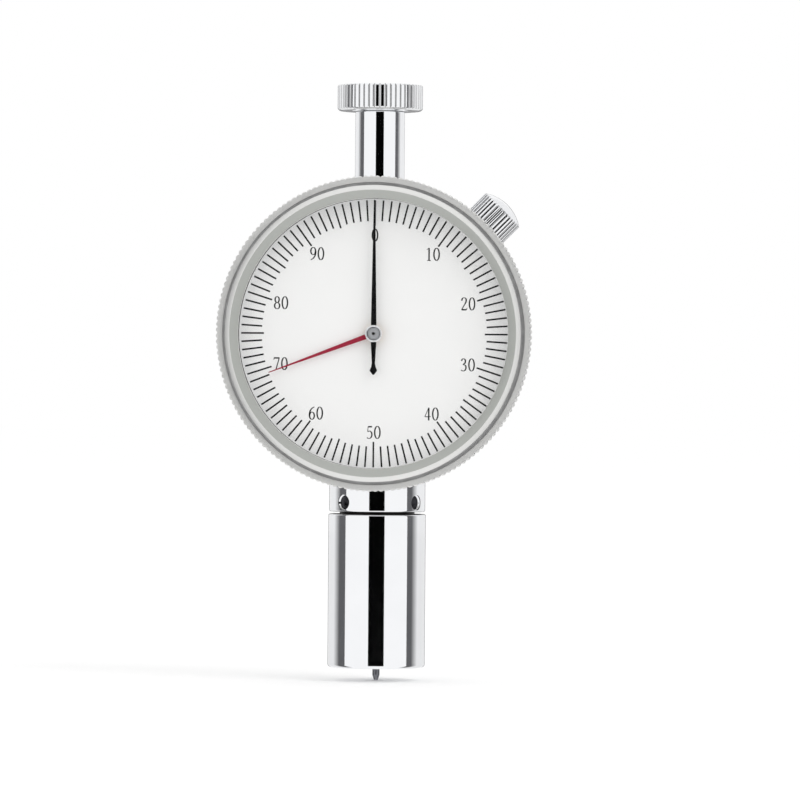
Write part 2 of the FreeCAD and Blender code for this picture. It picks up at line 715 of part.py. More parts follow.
def case_holes():
    bush_top = DIAL_Z - DRUM_BORE_R + BOSS_IN_DRUM
    block_top = BEARING_BLOCK_AT + BEARING_BLOCK
    screw_front = FRONT_PLATE_FACE - MOVEMENT_SCREW_GRIP - TAPPED_END
    holes = [
        upright(UPPER_GUIDE_R + PRESSED, NECK_BOTTOM - CUT_PAST, bush_top),
        upright(STEM_SPIGOT_R + PRESSED, DIAL_Z + DRUM_BORE_R - BOSS_IN_DRUM, STEM_SEAT + CUT_PAST),
        radial(upright(KNOB_BUSH_R + PRESSED, DRUM_BORE_R - BOSS_IN_DRUM, RESET_KNOB_BASE)),
        radial(upright(RESET_SHAFT_R + RUNNING, BEARING_BLOCK_AT - CUT_PAST, block_top + CUT_PAST)),
        lying(WEB_HOLE_R, DRUM_FRONT - CUT_PAST, WEB_REAR + CUT_PAST),
    ]
    for x, z in PILLAR_PLACES:
        holes.append(lying(MOVEMENT_SCREW_R + PRESSED, screw_front, FRONT_PLATE_FACE, x, DIAL_Z + z))
    for x, z in cover_screw_places():
        holes.append(lying(COVER_SCREW_R + PRESSED, DRUM_BACK - COVER_SCREW_LENGTH, DRUM_BACK, x, z))
    return holes


def inner_bosses():
    bosses = [lying(POST_R, WEB_REAR, FRONT_PLATE_FACE, x, DIAL_Z + z) for x, z in PILLAR_PLACES]
    inside = lying(DRUM_BORE_R + DRUM_WALL / 2, WEB_REAR, DRUM_BACK)
    for x, z in cover_screw_places():
        bosses.append(lying(COVER_BOSS_R, DRUM_BACK - COVER_BOSS_LENGTH, DRUM_BACK, x, z).common(inside))
    height = KNOB_Y + BEARING_BLOCK_WIDTH / 2 - WEB_REAR
    corner = vec(WEB_REAR - KNOB_Y, -BEARING_BLOCK_WIDTH / 2, BEARING_BLOCK_AT)
    bosses.append(radial(Part.makeBox(height, BEARING_BLOCK_WIDTH, BEARING_BLOCK, corner)))
    bosses.append(radial(upright(KNOB_PAD_R, DRUM_BORE_R - KNOB_PAD_INSIDE, DRUM_BORE_R + DRUM_WALL / 2)))
    return bosses


def cover_screw_places():
    places = []
    for angle in COVER_SCREW_ANGLES:
        turn = math.radians(angle)
        x = COVER_SCREW_CIRCLE_R * math.cos(turn)
        places.append((x, DIAL_Z + COVER_SCREW_CIRCLE_R * math.sin(turn)))
    return places


def snap_groove():
    """The front and rear of the snap ring's groove, in the middle of the bezel's seat."""
    middle = DRUM_FRONT - BEZEL_SEAT_DEPTH / 2
    half = SNAP_RING_WIDTH / 2 + SLIP
    return middle - half, middle + half


def bezel_snap_ring():
    """An open spring ring, partly in the case's seat and partly in the bezel."""
    front, rear = snap_groove()
    inner = BEZEL_SEAT_R - SNAP_RING_IN_SEAT
    wire = ring(BEZEL_SEAT_R + SNAP_RING_IN_BEZEL, inner, front + SLIP, rear - SLIP)
    corner = vec(-SNAP_RING_GAP / 2, front, DIAL_Z - DRUM_R)
    return wire.cut(Part.makeBox(SNAP_RING_GAP, rear - front, DRUM_R, corner))


def back_cover():
    rear = DRUM_BACK + COVER
    cover = turned_y(
        [
            (0, DRUM_BACK),
            (DRUM_R, DRUM_BACK),
            (DRUM_R, rear - COVER_EDGE),
            (DRUM_R - COVER_EDGE, rear),
            (0, rear),
        ]
    )
    for x, z in cover_screw_places():
        cover = cover.cut(countersink(x, z, SLIP))
    return cover


def countersink(x, z, room):
    """A countersunk screw's outline, or the hole for it where there is room all round."""
    rear = DRUM_BACK + COVER
    head_depth = COVER_SCREW_HEAD_R - COVER_SCREW_R
    shank = COVER_SCREW_R + room
    head = COVER_SCREW_HEAD_R + room
    tip = DRUM_BACK - COVER_SCREW_LENGTH + SCREW_TIP_GAP
    return turned_y([(0, tip), (shank, tip), (shank, rear - head_depth), (head, rear), (0, rear)], x, z)


def back_cover_screws():
    screws = []
    rear = DRUM_BACK + COVER
    for x, z in cover_screw_places():
        slot = Part.makeBox(
            2 * COVER_SCREW_HEAD_R,
            SCREW_SLOT_DEPTH,
            SCREW_SLOT,
            vec(x - COVER_SCREW_HEAD_R, rear - SCREW_SLOT_DEPTH, z - SCREW_SLOT / 2),
        )
        screws.append(countersink(x, z, 0).cut(slot))
    return Part.makeCompound(screws)


# Stem and top knob


def handle_stem():
    stem = turned_z(
        [
            (0, STEM_SEAT - STEM_SPIGOT_LENGTH),
            (STEM_SPIGOT_R, STEM_SEAT - STEM_SPIGOT_LENGTH),
            (STEM_SPIGOT_R, STEM_SEAT),
            (STEM_R, STEM_SEAT),
            (STEM_R, STEM_TOP - STEM_EDGE),
            (STEM_R - STEM_EDGE, STEM_TOP),
            (0, STEM_TOP),
        ]
    )
    return stem.cut(upright(STUD_R + RUNNING, STEM_TOP - STUD_IN_STEM - TAPPED_END, STEM_TOP))


def top_knob():
    low = STEM_TOP + SLIP
    high = low + TOP_KNOB_HEIGHT
    rim = knurled_disc(TOP_KNOB_R, TOP_KNOB_GROOVE_DEPTH, TOP_KNOB_RIDGE_COUNT, low, high)
    blank = turned_z(
        [
            (0, low),
            (TOP_KNOB_R - TOP_KNOB_EDGE, low),
            (TOP_KNOB_R + PRESSED, low + TOP_KNOB_EDGE),
            (TOP_KNOB_R + PRESSED, high - TOP_KNOB_EDGE),
            (TOP_KNOB_R - TOP_KNOB_EDGE, high),
            (0, high),
        ]
    )
    return rim.common(blank).cut(upright(STUD_R + PRESSED, low, low + STUD_IN_KNOB + SLIP))


def knob_stud():
    low = STEM_TOP + SLIP
    return upright(STUD_R, low - STUD_IN_STEM, low + STUD_IN_KNOB)


# Movement frame


def plate(front, rear):
    """A round movement plate with its screw holes and the pivot holes of the two outer arbors."""
    disc = lying(PLATE_R, front, rear)
    for x, z in PILLAR_PLACES:
        disc = disc.cut(lying(MOVEMENT_SCREW_R + SLIP, front, rear, x, DIAL_Z + z))
    for x, z in ((RACK_ARBOR_X, RACK_ARBOR_Z), (TAKEUP_X, TAKEUP_Z)):
        disc = disc.cut(lying(ARBOR_R + RUNNING, front, rear, x, z))
    return disc


def movement_front_plate():
    disc = plate(FRONT_PLATE_FACE, FRONT_PLATE_REAR)
    disc = disc.cut(lying(CENTRE_BUSH_SPIGOT_R + PRESSED, FRONT_PLATE_FACE, FRONT_PLATE_REAR))
    half = RESET_PINION_PITCH_R + TIP_HEIGHT * CROWN_MODULE + PINION_ROOM
    start = CROWN_PITCH_R - CROWN_WIDTH / 2 - PINION_ROOM
    corner = vec(FRONT_PLATE_FACE - KNOB_Y - CUT_PAST, -half, start)
    return disc.cut(radial(Part.makeBox(PLATE + 2 * CUT_PAST, 2 * half, PLATE_R, corner)))


def movement_rear_plate():
    disc = plate(REAR_PLATE_FACE, REAR_PLATE_REAR)
    disc = disc.cut(lying(ARBOR_R + RUNNING, REAR_PLATE_FACE, REAR_PLATE_REAR))
    stud_x, stud_z = hairspring_stud_place()
    return disc.cut(lying(HAIRSPRING_STUD_R + PRESSED, REAR_PLATE_FACE, REAR_PLATE_REAR, stud_x, stud_z))


def movement_pillars():
    return Part.makeCompound(
        [
            ring(PILLAR_R, MOVEMENT_SCREW_R + SLIP, FRONT_PLATE_REAR, REAR_PLATE_FACE, x, DIAL_Z + z)
            for x, z in PILLAR_PLACES
        ]
    )


def movement_screws():
    screws = []
    for x, z in PILLAR_PLACES:
        head_rear = REAR_PLATE_REAR + MOVEMENT_SCREW_HEAD
        tip = FRONT_PLATE_FACE - MOVEMENT_SCREW_GRIP
        screw = lying(MOVEMENT_SCREW_HEAD_R, REAR_PLATE_REAR, head_rear, x, DIAL_Z + z)
        shank = lying(MOVEMENT_SCREW_R, tip, REAR_PLATE_REAR, x, DIAL_Z + z)
        slot = Part.makeBox(
            2 * MOVEMENT_SCREW_HEAD_R,
            SCREW_SLOT_DEPTH,
            SCREW_SLOT,
            vec(x - MOVEMENT_SCREW_HEAD_R, head_rear - SCREW_SLOT_DEPTH, DIAL_Z + z - SCREW_SLOT / 2),
        )
        screws.append(screw.fuse(shank).cut(slot).removeSplitter())
    return Part.makeCompound(screws)


def centre_bush():
    """The fixed tube round the centre arbor, which the peak hand's sleeve turns on."""
    bore = ARBOR_R + RUNNING
    return turned_y(
        [
            (bore, FRONT_PLATE_REAR),
            (CENTRE_BUSH_SPIGOT_R, FRONT_PLATE_REAR),
            (CENTRE_BUSH_SPIGOT_R, FRONT_PLATE_FACE),
            (CENTRE_BUSH_FLANGE_R, FRONT_PLATE_FACE),
            (CENTRE_BUSH_FLANGE_R, FRONT_PLATE_FACE - CENTRE_BUSH_FLANGE),
            (CENTRE_BUSH_R, FRONT_PLATE_FACE - CENTRE_BUSH_FLANGE),
            (CENTRE_BUSH_R, PEAK_HAND_FRONT),
            (bore, PEAK_HAND_FRONT),
        ]
    )


# Gear train


def train_phases():
    """The phase of each gear, from the rack pinion, which points a tooth at a gap of the rack."""
    to_centre = math.degrees(math.atan2(-RACK_ARBOR_DZ, -RACK_ARBOR_X))
    wheel = to_centre
    centre = meshing_phase(wheel, WHEEL_TEETH, to_centre, CENTRE_TEETH)
    takeup = meshing_phase(centre, CENTRE_TEETH, TAKEUP_DEG, TAKEUP_TEETH)
    return wheel, centre, takeup


def arbor(shoulder_front, shoulder_rear, front_end, x, z):
    rear_end = REAR_PLATE_REAR + PIVOT_STANDS_OUT
    return turned_y(
        [
            (0, front_end),
            (ARBOR_R, front_end),
            (ARBOR_R, shoulder_front),
            (ARBOR_SHOULDER_R, shoulder_front),
            (ARBOR_SHOULDER_R, shoulder_rear),
            (ARBOR_R, shoulder_rear),
            (ARBOR_R, rear_end),
            (0, rear_end),
        ],
        x,
        z,
    )


def rack_arbor():
    """The arbor whose pinion runs in the rack."""
    half = RACK_PINION_WIDTH / 2
    shoulder_rear = REAR_PLATE_FACE - ARBOR_END_PLAY
    spindle = arbor(WHEEL_REAR, shoulder_rear, FRONT_PLATE_FACE, RACK_ARBOR_X, RACK_ARBOR_Z)
    teeth = gear(RACK_PINION_TEETH, MODULE, 0.0, -half, half, RACK_ARBOR_X, RACK_ARBOR_Z)
    return spindle.fuse(teeth).removeSplitter()


def wheel_with_bore(teeth, phase, x, z):
    disc = gear(teeth, MODULE, phase, WHEEL_FRONT, WHEEL_REAR, x, z)
    return disc.cut(lying(ARBOR_R + PRESSED, WHEEL_FRONT, WHEEL_REAR, x, z))


def intermediate_wheel():
    wheel, _, _ = train_phases()
    return wheel_with_bore(WHEEL_TEETH, wheel, RACK_ARBOR_X, RACK_ARBOR_Z)


def centre_arbor():
    _, phase, _ = train_phases()
    shoulder_rear = REAR_PLATE_FACE - ARBOR_END_PLAY
    spindle = arbor(WHEEL_REAR, shoulder_rear, MAIN_HAND_FRONT + PRESSED, 0.0, DIAL_Z)
    front = WHEEL_FRONT - PINION_OVERHANG
    teeth = gear(CENTRE_TEETH, MODULE, phase, front, WHEEL_REAR + PINION_OVERHANG, 0.0, DIAL_Z)
    return spindle.fuse(teeth).removeSplitter()


def takeup_arbor():
    shoulder_rear = REAR_PLATE_FACE - ARBOR_END_PLAY
    return arbor(WHEEL_REAR, shoulder_rear, FRONT_PLATE_FACE, TAKEUP_X, TAKEUP_Z)


def takeup_wheel():
    _, _, phase = train_phases()
    return wheel_with_bore(TAKEUP_TEETH, phase, TAKEUP_X, TAKEUP_Z)


def hairspring_span():
    """The front and rear of the hairspring's strip, in the middle between wheel and rear plate."""
    middle = (WHEEL_REAR + REAR_PLATE_FACE) / 2
    return middle - HAIRSPRING_WIDTH / 2, middle + HAIRSPRING_WIDTH / 2


def hairspring_collet():
    front, rear = hairspring_span()
    front -= HAIRSPRING_SIDE_ROOM
    rear += HAIRSPRING_SIDE_ROOM
    return ring(HAIRSPRING_COLLET_R, ARBOR_SHOULDER_R + PRESSED, front, rear, TAKEUP_X, TAKEUP_Z)


def hairspring_stud_place():
    angle = 2 * math.pi * HAIRSPRING_TURNS
    reach = HAIRSPRING_R + HAIRSPRING_STRIP + HAIRSPRING_STUD_R + PRESSED
    return TAKEUP_X + reach * math.cos(angle), TAKEUP_Z + reach * math.sin(angle)


def hairspring_stud():
    front, _ = hairspring_span()
    x, z = hairspring_stud_place()
    return lying(HAIRSPRING_STUD_R, front - HAIRSPRING_SIDE_ROOM, REAR_PLATE_REAR, x, z)


def hairspring():
    """A flat strip wound from the collet to the stud. Each half turn is an arc about a centre that steps
    from side to side, so its radius grows evenly."""
    front, rear = hairspring_span()
    start = HAIRSPRING_COLLET_R + PRESSED
    halves = round(2 * HAIRSPRING_TURNS)
    growth = (HAIRSPRING_R - start) / halves

    def edge_of_strip(offset):
        arcs = []
        for number in range(halves):
            side = 1 if number % 2 == 0 else -1
            near = side * (start + growth * number + offset)
            far = -side * (start + growth * (number + 1) + offset)
            middle = vec(TAKEUP_X + (near + far) / 2, front, TAKEUP_Z + side * abs(near - far) / 2)
            first = vec(TAKEUP_X + near, front, TAKEUP_Z)
            arcs.append(Part.Arc(first, middle, vec(TAKEUP_X + far, front, TAKEUP_Z)).toShape())
        return arcs

    inner = edge_of_strip(0.0)
    outer = edge_of_strip(HAIRSPRING_STRIP)
    first = Part.LineSegment(inner[0].Vertexes[0].Point, outer[0].Vertexes[0].Point).toShape()
    last = Part.LineSegment(inner[-1].Vertexes[-1].Point, outer[-1].Vertexes[-1].Point).toShape()
    outline = Part.Wire(Part.__sortEdges__(inner + [last] + outer + [first]))
    return Part.Face(outline).extrude(ALONG_Y * (rear - front))


# Peak hand and its drive


def crown_wheel():
    """A face gear: its teeth stand up from a disc and meet the pinion of the reset shaft."""
    pitch_plane = KNOB_Y - RESET_PINION_PITCH_R
    root = pitch_plane - ROOT_DEPTH * CROWN_MODULE
    outer = CROWN_PITCH_R + CROWN_WIDTH / 2
    inner = CROWN_PITCH_R - CROWN_WIDTH / 2
    disc = ring(outer, SLEEVE_R + PRESSED, root - CROWN, root)
    pitch = math.pi * CROWN_MODULE
    wide = ROOT_HALF * pitch
    narrow = TIP_HALF * pitch
    rise = (ROOT_DEPTH + TIP_HEIGHT) * CROWN_MODULE
    tooth = Part.Face(
        Part.makePolygon(
            [
                vec(inner, root - CROWN / 2, -wide),
                vec(inner, root, -wide),
                vec(inner, root + rise, -narrow),
                vec(inner, root + rise, narrow),
                vec(inner, root, wide),
                vec(inner, root - CROWN / 2, wide),
                vec(inner, root - CROWN / 2, -wide),
            ]
        )
    ).extrude(vec(CROWN_WIDTH - CROWN_TOOTH_INSET, 0, 0))
    teeth = []
    for number in range(CROWN_TEETH):
        copy = tooth.copy()
        copy.translate(vec(0, 0, DIAL_Z))
        # A gap, not a tooth, lies under the pinion's own tooth
        turn = KNOB_DEG + (number + 0.5) * 360.0 / CROWN_TEETH
        copy.rotate(vec(0, 0, DIAL_Z), ALONG_Y, -turn)
        teeth.append(copy)
    return disc.fuse(teeth).removeSplitter()


def peak_hand_sleeve():
    root = KNOB_Y - RESET_PINION_PITCH_R - ROOT_DEPTH * CROWN_MODULE
    bore = CENTRE_BUSH_R + RUNNING
    rear = FRONT_PLATE_FACE - CENTRE_BUSH_FLANGE - SLEEVE_END_PLAY
    return turned_y(
        [
            (bore, rear),
            (SLEEVE_R, rear),
            (SLEEVE_R, root + SLEEVE_FLANGE),
            (SLEEVE_FLANGE_R, root + SLEEVE_FLANGE),
            (SLEEVE_FLANGE_R, root),
            (SLEEVE_R, root),
            (SLEEVE_R, PEAK_HAND_FRONT),
            (bore, PEAK_HAND_FRONT),
        ]
    )


def peak_hand():
    outline = [
        (SLEEVE_R, PEAK_HAND_ROOT_WIDTH / 2),
        (HUB_R, PEAK_HAND_ROOT_WIDTH / 2),
        (PEAK_HAND_LENGTH, PEAK_HAND_TIP_WIDTH / 2),
    ]
    return hand_plate(outline, SLEEVE_R + PRESSED, PEAK_HAND_FRONT, PEAK_HAND_REAR, PEAK_DEG)


def main_hand():
    """The long hand. Its short tail ends in a spade like a rhombus."""
    outline = [
        (-MAIN_TAIL_LENGTH, MAIN_TAIL_POINT_WIDTH / 2),
        (-MAIN_TAIL_SPADE_AT, MAIN_TAIL_SPADE_WIDTH / 2),
        (-MAIN_TAIL_SPADE_START, MAIN_TAIL_NECK_WIDTH / 2),
        (-HUB_R, MAIN_HAND_ROOT_WIDTH / 2),
        (HUB_R, MAIN_HAND_ROOT_WIDTH / 2),
        (MAIN_HAND_LENGTH, MAIN_HAND_TIP_WIDTH / 2),
    ]
    return hand_plate(outline, HUB_SPIGOT_R + PRESSED, MAIN_HAND_FRONT, MAIN_HAND_REAR, 90.0)


def hand_boss():
    rear = MAIN_HAND_REAR + HUB_BOSS
    return turned_y(
        [
            (ARBOR_R + PRESSED, rear),
            (HUB_BOSS_R, rear),
            (HUB_BOSS_R, MAIN_HAND_REAR),
            (HUB_SPIGOT_R, MAIN_HAND_REAR),
            (HUB_SPIGOT_R, MAIN_HAND_FRONT),
            (ARBOR_R + PRESSED, MAIN_HAND_FRONT),
        ]
    )


def hand_cap():
    ring_front = MAIN_HAND_FRONT - HUB_RING
    return turned_y(
        [
            (0, MAIN_HAND_FRONT),
            (HUB_R, MAIN_HAND_FRONT),
            (HUB_R, ring_front + HUB_RING_EDGE),
            (HUB_R - HUB_RING_EDGE, ring_front),
            (HUB_CAP_R, ring_front),
        ]
        + crown_of(HUB_CAP_R, ring_front, -HUB_CAP_RISE)
    )


def retaining_span():
    """Where the retaining ring sits along the reset shaft, just inside the bearing block."""
    end = BEARING_BLOCK_AT - SLIP
    return end - RETAINING_RING, end


def reset_shaft():
    low = CROWN_PITCH_R - CROWN_WIDTH / 2
    shoulder = CROWN_PITCH_R + CROWN_WIDTH / 2 + SLIP
    groove_low, groove_high = retaining_span()
    thin_r = RESET_SHAFT_R - RETAINING_GROOVE
    shaft = turned_z(
        [
            (0, low),
            (thin_r, low),
            (thin_r, shoulder),
            (RESET_SHAFT_R, shoulder),
            (RESET_SHAFT_R, groove_low),
            (thin_r, groove_low),
            (thin_r, groove_high),
            (RESET_SHAFT_R, groove_high),
            (RESET_SHAFT_R, RESET_KNOB_END - RESET_KNOB_FLOOR),
            (0, RESET_KNOB_END - RESET_KNOB_FLOOR),
        ]
    )
    return radial(shaft)


def shaft_retaining_ring():
    low, high = retaining_span()
    inner = RESET_SHAFT_R - RETAINING_GROOVE + PRESSED
    clip = upright(RETAINING_RING_R, low, high).cut(upright(inner, low, high))
    half = inner * math.sin(math.radians(RETAINING_MOUTH_DEG / 2))
    return radial(clip.cut(Part.makeBox(RETAINING_RING_R, 2 * half, high - low, vec(0, -half, low))))


def reset_pinion():
    low = CROWN_PITCH_R - CROWN_WIDTH / 2
    high = CROWN_PITCH_R + CROWN_WIDTH / 2
    corners = [
        vec(-radius * math.cos(angle), radius * math.sin(angle), low)
        for radius, angle in tooth_outline(RESET_PINION_TEETH, CROWN_MODULE, 0.0)
    ]
    teeth = Part.Face(Part.makePolygon(corners + corners[:1])).extrude(ALONG_Z * (high - low))
    return radial(teeth.cut(upright(RESET_SHAFT_R - RETAINING_GROOVE + PRESSED, low, high)))


def reset_knob():
    base = RESET_KNOB_BASE
    end = RESET_KNOB_END
    top = end + RESET_KNOB_DOME
    bore = RESET_SHAFT_R + PRESSED
    bore_end = end - RESET_KNOB_FLOOR + SLIP
    recess = KNOB_BUSH_FLANGE_R + RESET_KNOB_GAP
    recess_end = base + KNOB_BUSH_FLANGE
    outer = RESET_KNOB_R + PRESSED
    dome_r = RESET_KNOB_R - RESET_KNOB_EDGE
    outline = [
        (recess, base),
        (outer - RESET_KNOB_EDGE, base),
        (outer, base + RESET_KNOB_EDGE),
        (outer, end - RESET_KNOB_EDGE),
        (dome_r, end),
    ]
    outline += crown_of(dome_r, end, RESET_KNOB_DOME)
    outline += [(0, bore_end), (bore, bore_end), (bore, recess_end), (recess, recess_end)]
    rim = knurled_disc(RESET_KNOB_R, RESET_KNOB_GROOVE_DEPTH, RESET_KNOB_RIDGE_COUNT, base, top)
    return radial(rim.common(turned_z(outline)))


def knob_bush():
    """The threaded bush that carries the reset shaft in the case wall."""
    seat = RESET_KNOB_BASE - RESET_KNOB_GAP
    bore = RESET_SHAFT_R + RUNNING
    low = DRUM_BORE_R - KNOB_PAD_INSIDE - KNOB_NUT - KNOB_BUSH_PAST_NUT
    return radial(
        turned_z(
            [
                (bore, low),
                (KNOB_BUSH_R, low),
                (KNOB_BUSH_R, seat),
                (KNOB_BUSH_FLANGE_R, seat),
                (KNOB_BUSH_FLANGE_R, seat + KNOB_BUSH_FLANGE),
                (bore, seat + KNOB_BUSH_FLANGE),
            ]
        )
    )


def knob_bush_nut():
    high = DRUM_BORE_R - KNOB_PAD_INSIDE
    low = high - KNOB_NUT
    return radial(hexagon(KNOB_NUT_FLATS, low, high).cut(upright(KNOB_BUSH_R + PRESSED, low, high)))


# Bezel, crystal and dial


def bezel():
    """A turned ring: a skirt that turns on the case, a knurled rim, a bead and a lip over the crystal."""
    skirt = BEZEL_SEAT_R + SLIP
    seat = CRYSTAL_R + RUNNING
    groove_r = BEZEL_SEAT_R + SNAP_RING_IN_BEZEL + 2 * SLIP
    groove_front, groove_rear = snap_groove()
    band_front = BEZEL_REAR - BEZEL_BAND_DEPTH
    body = turned_y(
        [
            (skirt, BEZEL_REAR),
            (BEZEL_ROOT_R - BEZEL_EDGE, BEZEL_REAR),
            (BEZEL_ROOT_R, BEZEL_REAR - BEZEL_EDGE),
            (BEZEL_ROOT_R, band_front + 2 * BEZEL_EDGE),
            (BEZEL_ROOT_R - BEZEL_EDGE, band_front + BEZEL_EDGE / 2),
            (BEZEL_FRONT_BAND_R, band_front),
            (BEZEL_FRONT_BAND_R, band_front + BEZEL_STEP),
            (BEZEL_BEAD_OUTER_R, band_front + BEZEL_STEP),
            (BEZEL_BEAD_OUTER_R, BEZEL_FRONT + BEZEL_BEAD_EDGE),
            (BEZEL_BEAD_OUTER_R - BEZEL_BEAD_EDGE / 2, BEZEL_FRONT),
            (BEZEL_BEAD_INNER_R + BEZEL_BEAD_EDGE / 2, BEZEL_FRONT),
            (BEZEL_LIP_R, CRYSTAL_FRONT - BEZEL_LIP),
            (BEZEL_LIP_R, CRYSTAL_FRONT),
            (seat, CRYSTAL_FRONT),
            (seat, SEAT_FRONT - SLIP),
            (skirt, SEAT_FRONT - SLIP),
            (skirt, groove_front),
            (groove_r, groove_front),
            (groove_r, groove_rear),
            (skirt, groove_rear),
        ]
    )
    low = KNURL_MARGIN
    high = BEZEL_BAND_DEPTH - 2 * BEZEL_EDGE - KNURL_MARGIN / 2
    rim = knurled_disc(BEZEL_R, BEZEL_GROOVE_DEPTH, BEZEL_RIDGE_COUNT, low, high)
    rim = rim.cut(upright(BEZEL_FRONT_BAND_R, low, high))
    rim.Placement = FreeCAD.Placement(vec(0, BEZEL_REAR, DIAL_Z), FreeCAD.Rotation(ALONG_Z, vec(0, -1, 0)))
    return body.fuse(rim)


def crystal():
    return lying(CRYSTAL_R, CRYSTAL_FRONT, CRYSTAL_REAR)


def crystal_gasket():
    return ring(CRYSTAL_R, BEZEL_LIP_R - GASKET_PAST_LIP, CRYSTAL_REAR, GASKET_REAR)


def dial_spacer_ring():
    return ring(CRYSTAL_R, CRYSTAL_R - SPACER_WALL, GASKET_REAR, DIAL_FACE)


def dial():
    return ring(CRYSTAL_R, DIAL_HOLE_R, DIAL_FACE, DIAL_REAR)


NODES = {
    "presser_foot_tube": presser_foot_tube,
    "tube_collar": tube_collar,
    "collar_set_screws": collar_set_screws,
    "foot_guide_bush": foot_guide_bush,
    "spring_adjuster": spring_adjuster,
    "upper_guide_bush": upper_guide_bush,
    "main_spring": main_spring,
    "indenter": indenter,
    "plunger_rod": plunger_rod,
    "rod_guide_pin": rod_guide_pin,
    "seat_clip": seat_clip,
    "spring_seat": spring_seat,
    "case": case,
    "back_cover": back_cover,
    "back_cover_screws": back_cover_screws,
    "handle_stem": handle_stem,
    "top_knob": top_knob,
    "knob_stud": knob_stud,
    "movement_front_plate": movement_front_plate,
    "movement_rear_plate": movement_rear_plate,
    "movement_pillars": movement_pillars,
    "movement_screws": movement_screws,
    "centre_bush": centre_bush,
    "rack_arbor": rack_arbor,
    "intermediate_wheel": intermediate_wheel,
    "centre_arbor": centre_arbor,
    "main_hand": main_hand,
    "hand_boss": hand_boss,
    "hand_cap": hand_cap,
    "takeup_arbor": takeup_arbor,
    "takeup_wheel": takeup_wheel,
    "hairspring_collet": hairspring_collet,
    "hairspring": hairspring,
    "hairspring_stud": hairspring_stud,
    "peak_hand_sleeve": peak_hand_sleeve,
    "crown_wheel": crown_wheel,
    "peak_hand": peak_hand,
    "reset_knob": reset_knob,
    "reset_shaft": reset_shaft,
    "reset_pinion": reset_pinion,
    "shaft_retaining_ring": shaft_retaining_ring,
    "knob_bush": knob_bush,
    "knob_bush_nut": knob_bush_nut,
    "bezel": bezel,
    "bezel_snap_ring": bezel_snap_ring,
    "crystal": crystal,
    "crystal_gasket": crystal_gasket,
    "dial_spacer_ring": dial_spacer_ring,
    "dial": dial,
}

os.makedirs("parts", exist_ok=True)
for name, make in NODES.items():
    make().exportStep(f"parts/{name}.step")
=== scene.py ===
import json
import math

import bmesh
import bpy
from bpy.props import FloatProperty, FloatVectorProperty, IntProperty, PointerProperty
from bpy.types import Operator, Panel, PropertyGroup
from mathutils import Matrix, Vector
from mathutils.geometry import interpolate_bezier


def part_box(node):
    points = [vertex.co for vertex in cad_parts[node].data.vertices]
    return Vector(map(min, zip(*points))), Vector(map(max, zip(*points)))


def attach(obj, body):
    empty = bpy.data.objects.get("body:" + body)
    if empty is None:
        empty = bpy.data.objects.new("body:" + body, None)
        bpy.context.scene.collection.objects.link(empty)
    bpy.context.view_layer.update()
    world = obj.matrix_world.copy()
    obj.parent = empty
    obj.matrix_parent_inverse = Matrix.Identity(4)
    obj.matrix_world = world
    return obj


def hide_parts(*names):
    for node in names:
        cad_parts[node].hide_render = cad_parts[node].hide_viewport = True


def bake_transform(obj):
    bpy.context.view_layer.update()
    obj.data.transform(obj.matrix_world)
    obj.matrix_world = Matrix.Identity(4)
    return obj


bl_info = {
    "name": "Pocket hardness tester",
    "version": (1, 0, 0),
    "blender": (4, 5, 0),
    "location": "3D View > Sidebar > Tester",
    "description": "Dresses the packed model of a dial hardness tester in its real shapes and finishes",
    "category": "Object",
}

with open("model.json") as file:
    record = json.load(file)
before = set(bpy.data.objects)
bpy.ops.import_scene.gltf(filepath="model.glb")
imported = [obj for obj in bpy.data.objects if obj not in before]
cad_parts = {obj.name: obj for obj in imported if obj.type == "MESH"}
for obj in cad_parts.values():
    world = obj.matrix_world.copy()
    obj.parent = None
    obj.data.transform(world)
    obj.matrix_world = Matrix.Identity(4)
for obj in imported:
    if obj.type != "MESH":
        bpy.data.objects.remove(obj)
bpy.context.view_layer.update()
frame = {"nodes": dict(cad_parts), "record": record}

BODY_OF = {
    node: body for body, nodes in frame["record"]["behaviour"]["bodies"].items() for node in nodes
}
SLOT_OF = {part["node"]: part["material_slot"] for part in frame["record"]["subparts"]}


def mm(value):
    return value / 1000.0


def linear(hex_colour):
    """Linear RGBA from an sRGB colour written as six hex digits."""
    channels = [int(hex_colour[start : start + 2], 16) / 255.0 for start in (0, 2, 4)]
    return tuple(c / 12.92 if c <= 0.04045 else ((c + 0.055) / 1.055) ** 2.4 for c in channels) + (1.0,)


# Fixed places, in metres, read from the frame where a node gives them
DIAL_CENTRE = Vector((0.0, 0.0, sum(corner[2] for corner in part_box("dial")) / 2))
TUBE_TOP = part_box("tube_collar")[0][2] - mm(0.5)
SPIGOT_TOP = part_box("presser_foot_tube")[1][2]
COLLAR_LOW, COLLAR_HIGH = (corner[2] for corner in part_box("tube_collar"))
STEM_LOW, STEM_HIGH = (corner[2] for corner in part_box("handle_stem"))
KNOB_LOW, KNOB_HIGH = (corner[2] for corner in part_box("top_knob"))
DIAL_FRONT, DIAL_REAR = (corner[1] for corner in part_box("dial"))
CRYSTAL_FRONT, CRYSTAL_REAR = (corner[1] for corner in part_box("crystal"))
BEZEL_FRONT, BEZEL_REAR = (corner[1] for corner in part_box("bezel"))
RED_FRONT, RED_REAR = (corner[1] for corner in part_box("peak_hand"))
BLACK_FRONT, BLACK_REAR = (corner[1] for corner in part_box("main_hand"))
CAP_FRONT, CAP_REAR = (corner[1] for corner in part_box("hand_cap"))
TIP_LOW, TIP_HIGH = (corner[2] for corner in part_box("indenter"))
SPIGOT_R = mm(7.2)
KNOB_AXIS_Y = mm(-4.4)
KNOB_LEAN = math.radians(45.0)
SCREW_ANGLES = (-40.5, 58.5, 189.0)
SCREW_Z = mm(31.7)
PEAK_READING = 69.3
SCALE_PARTS = 100

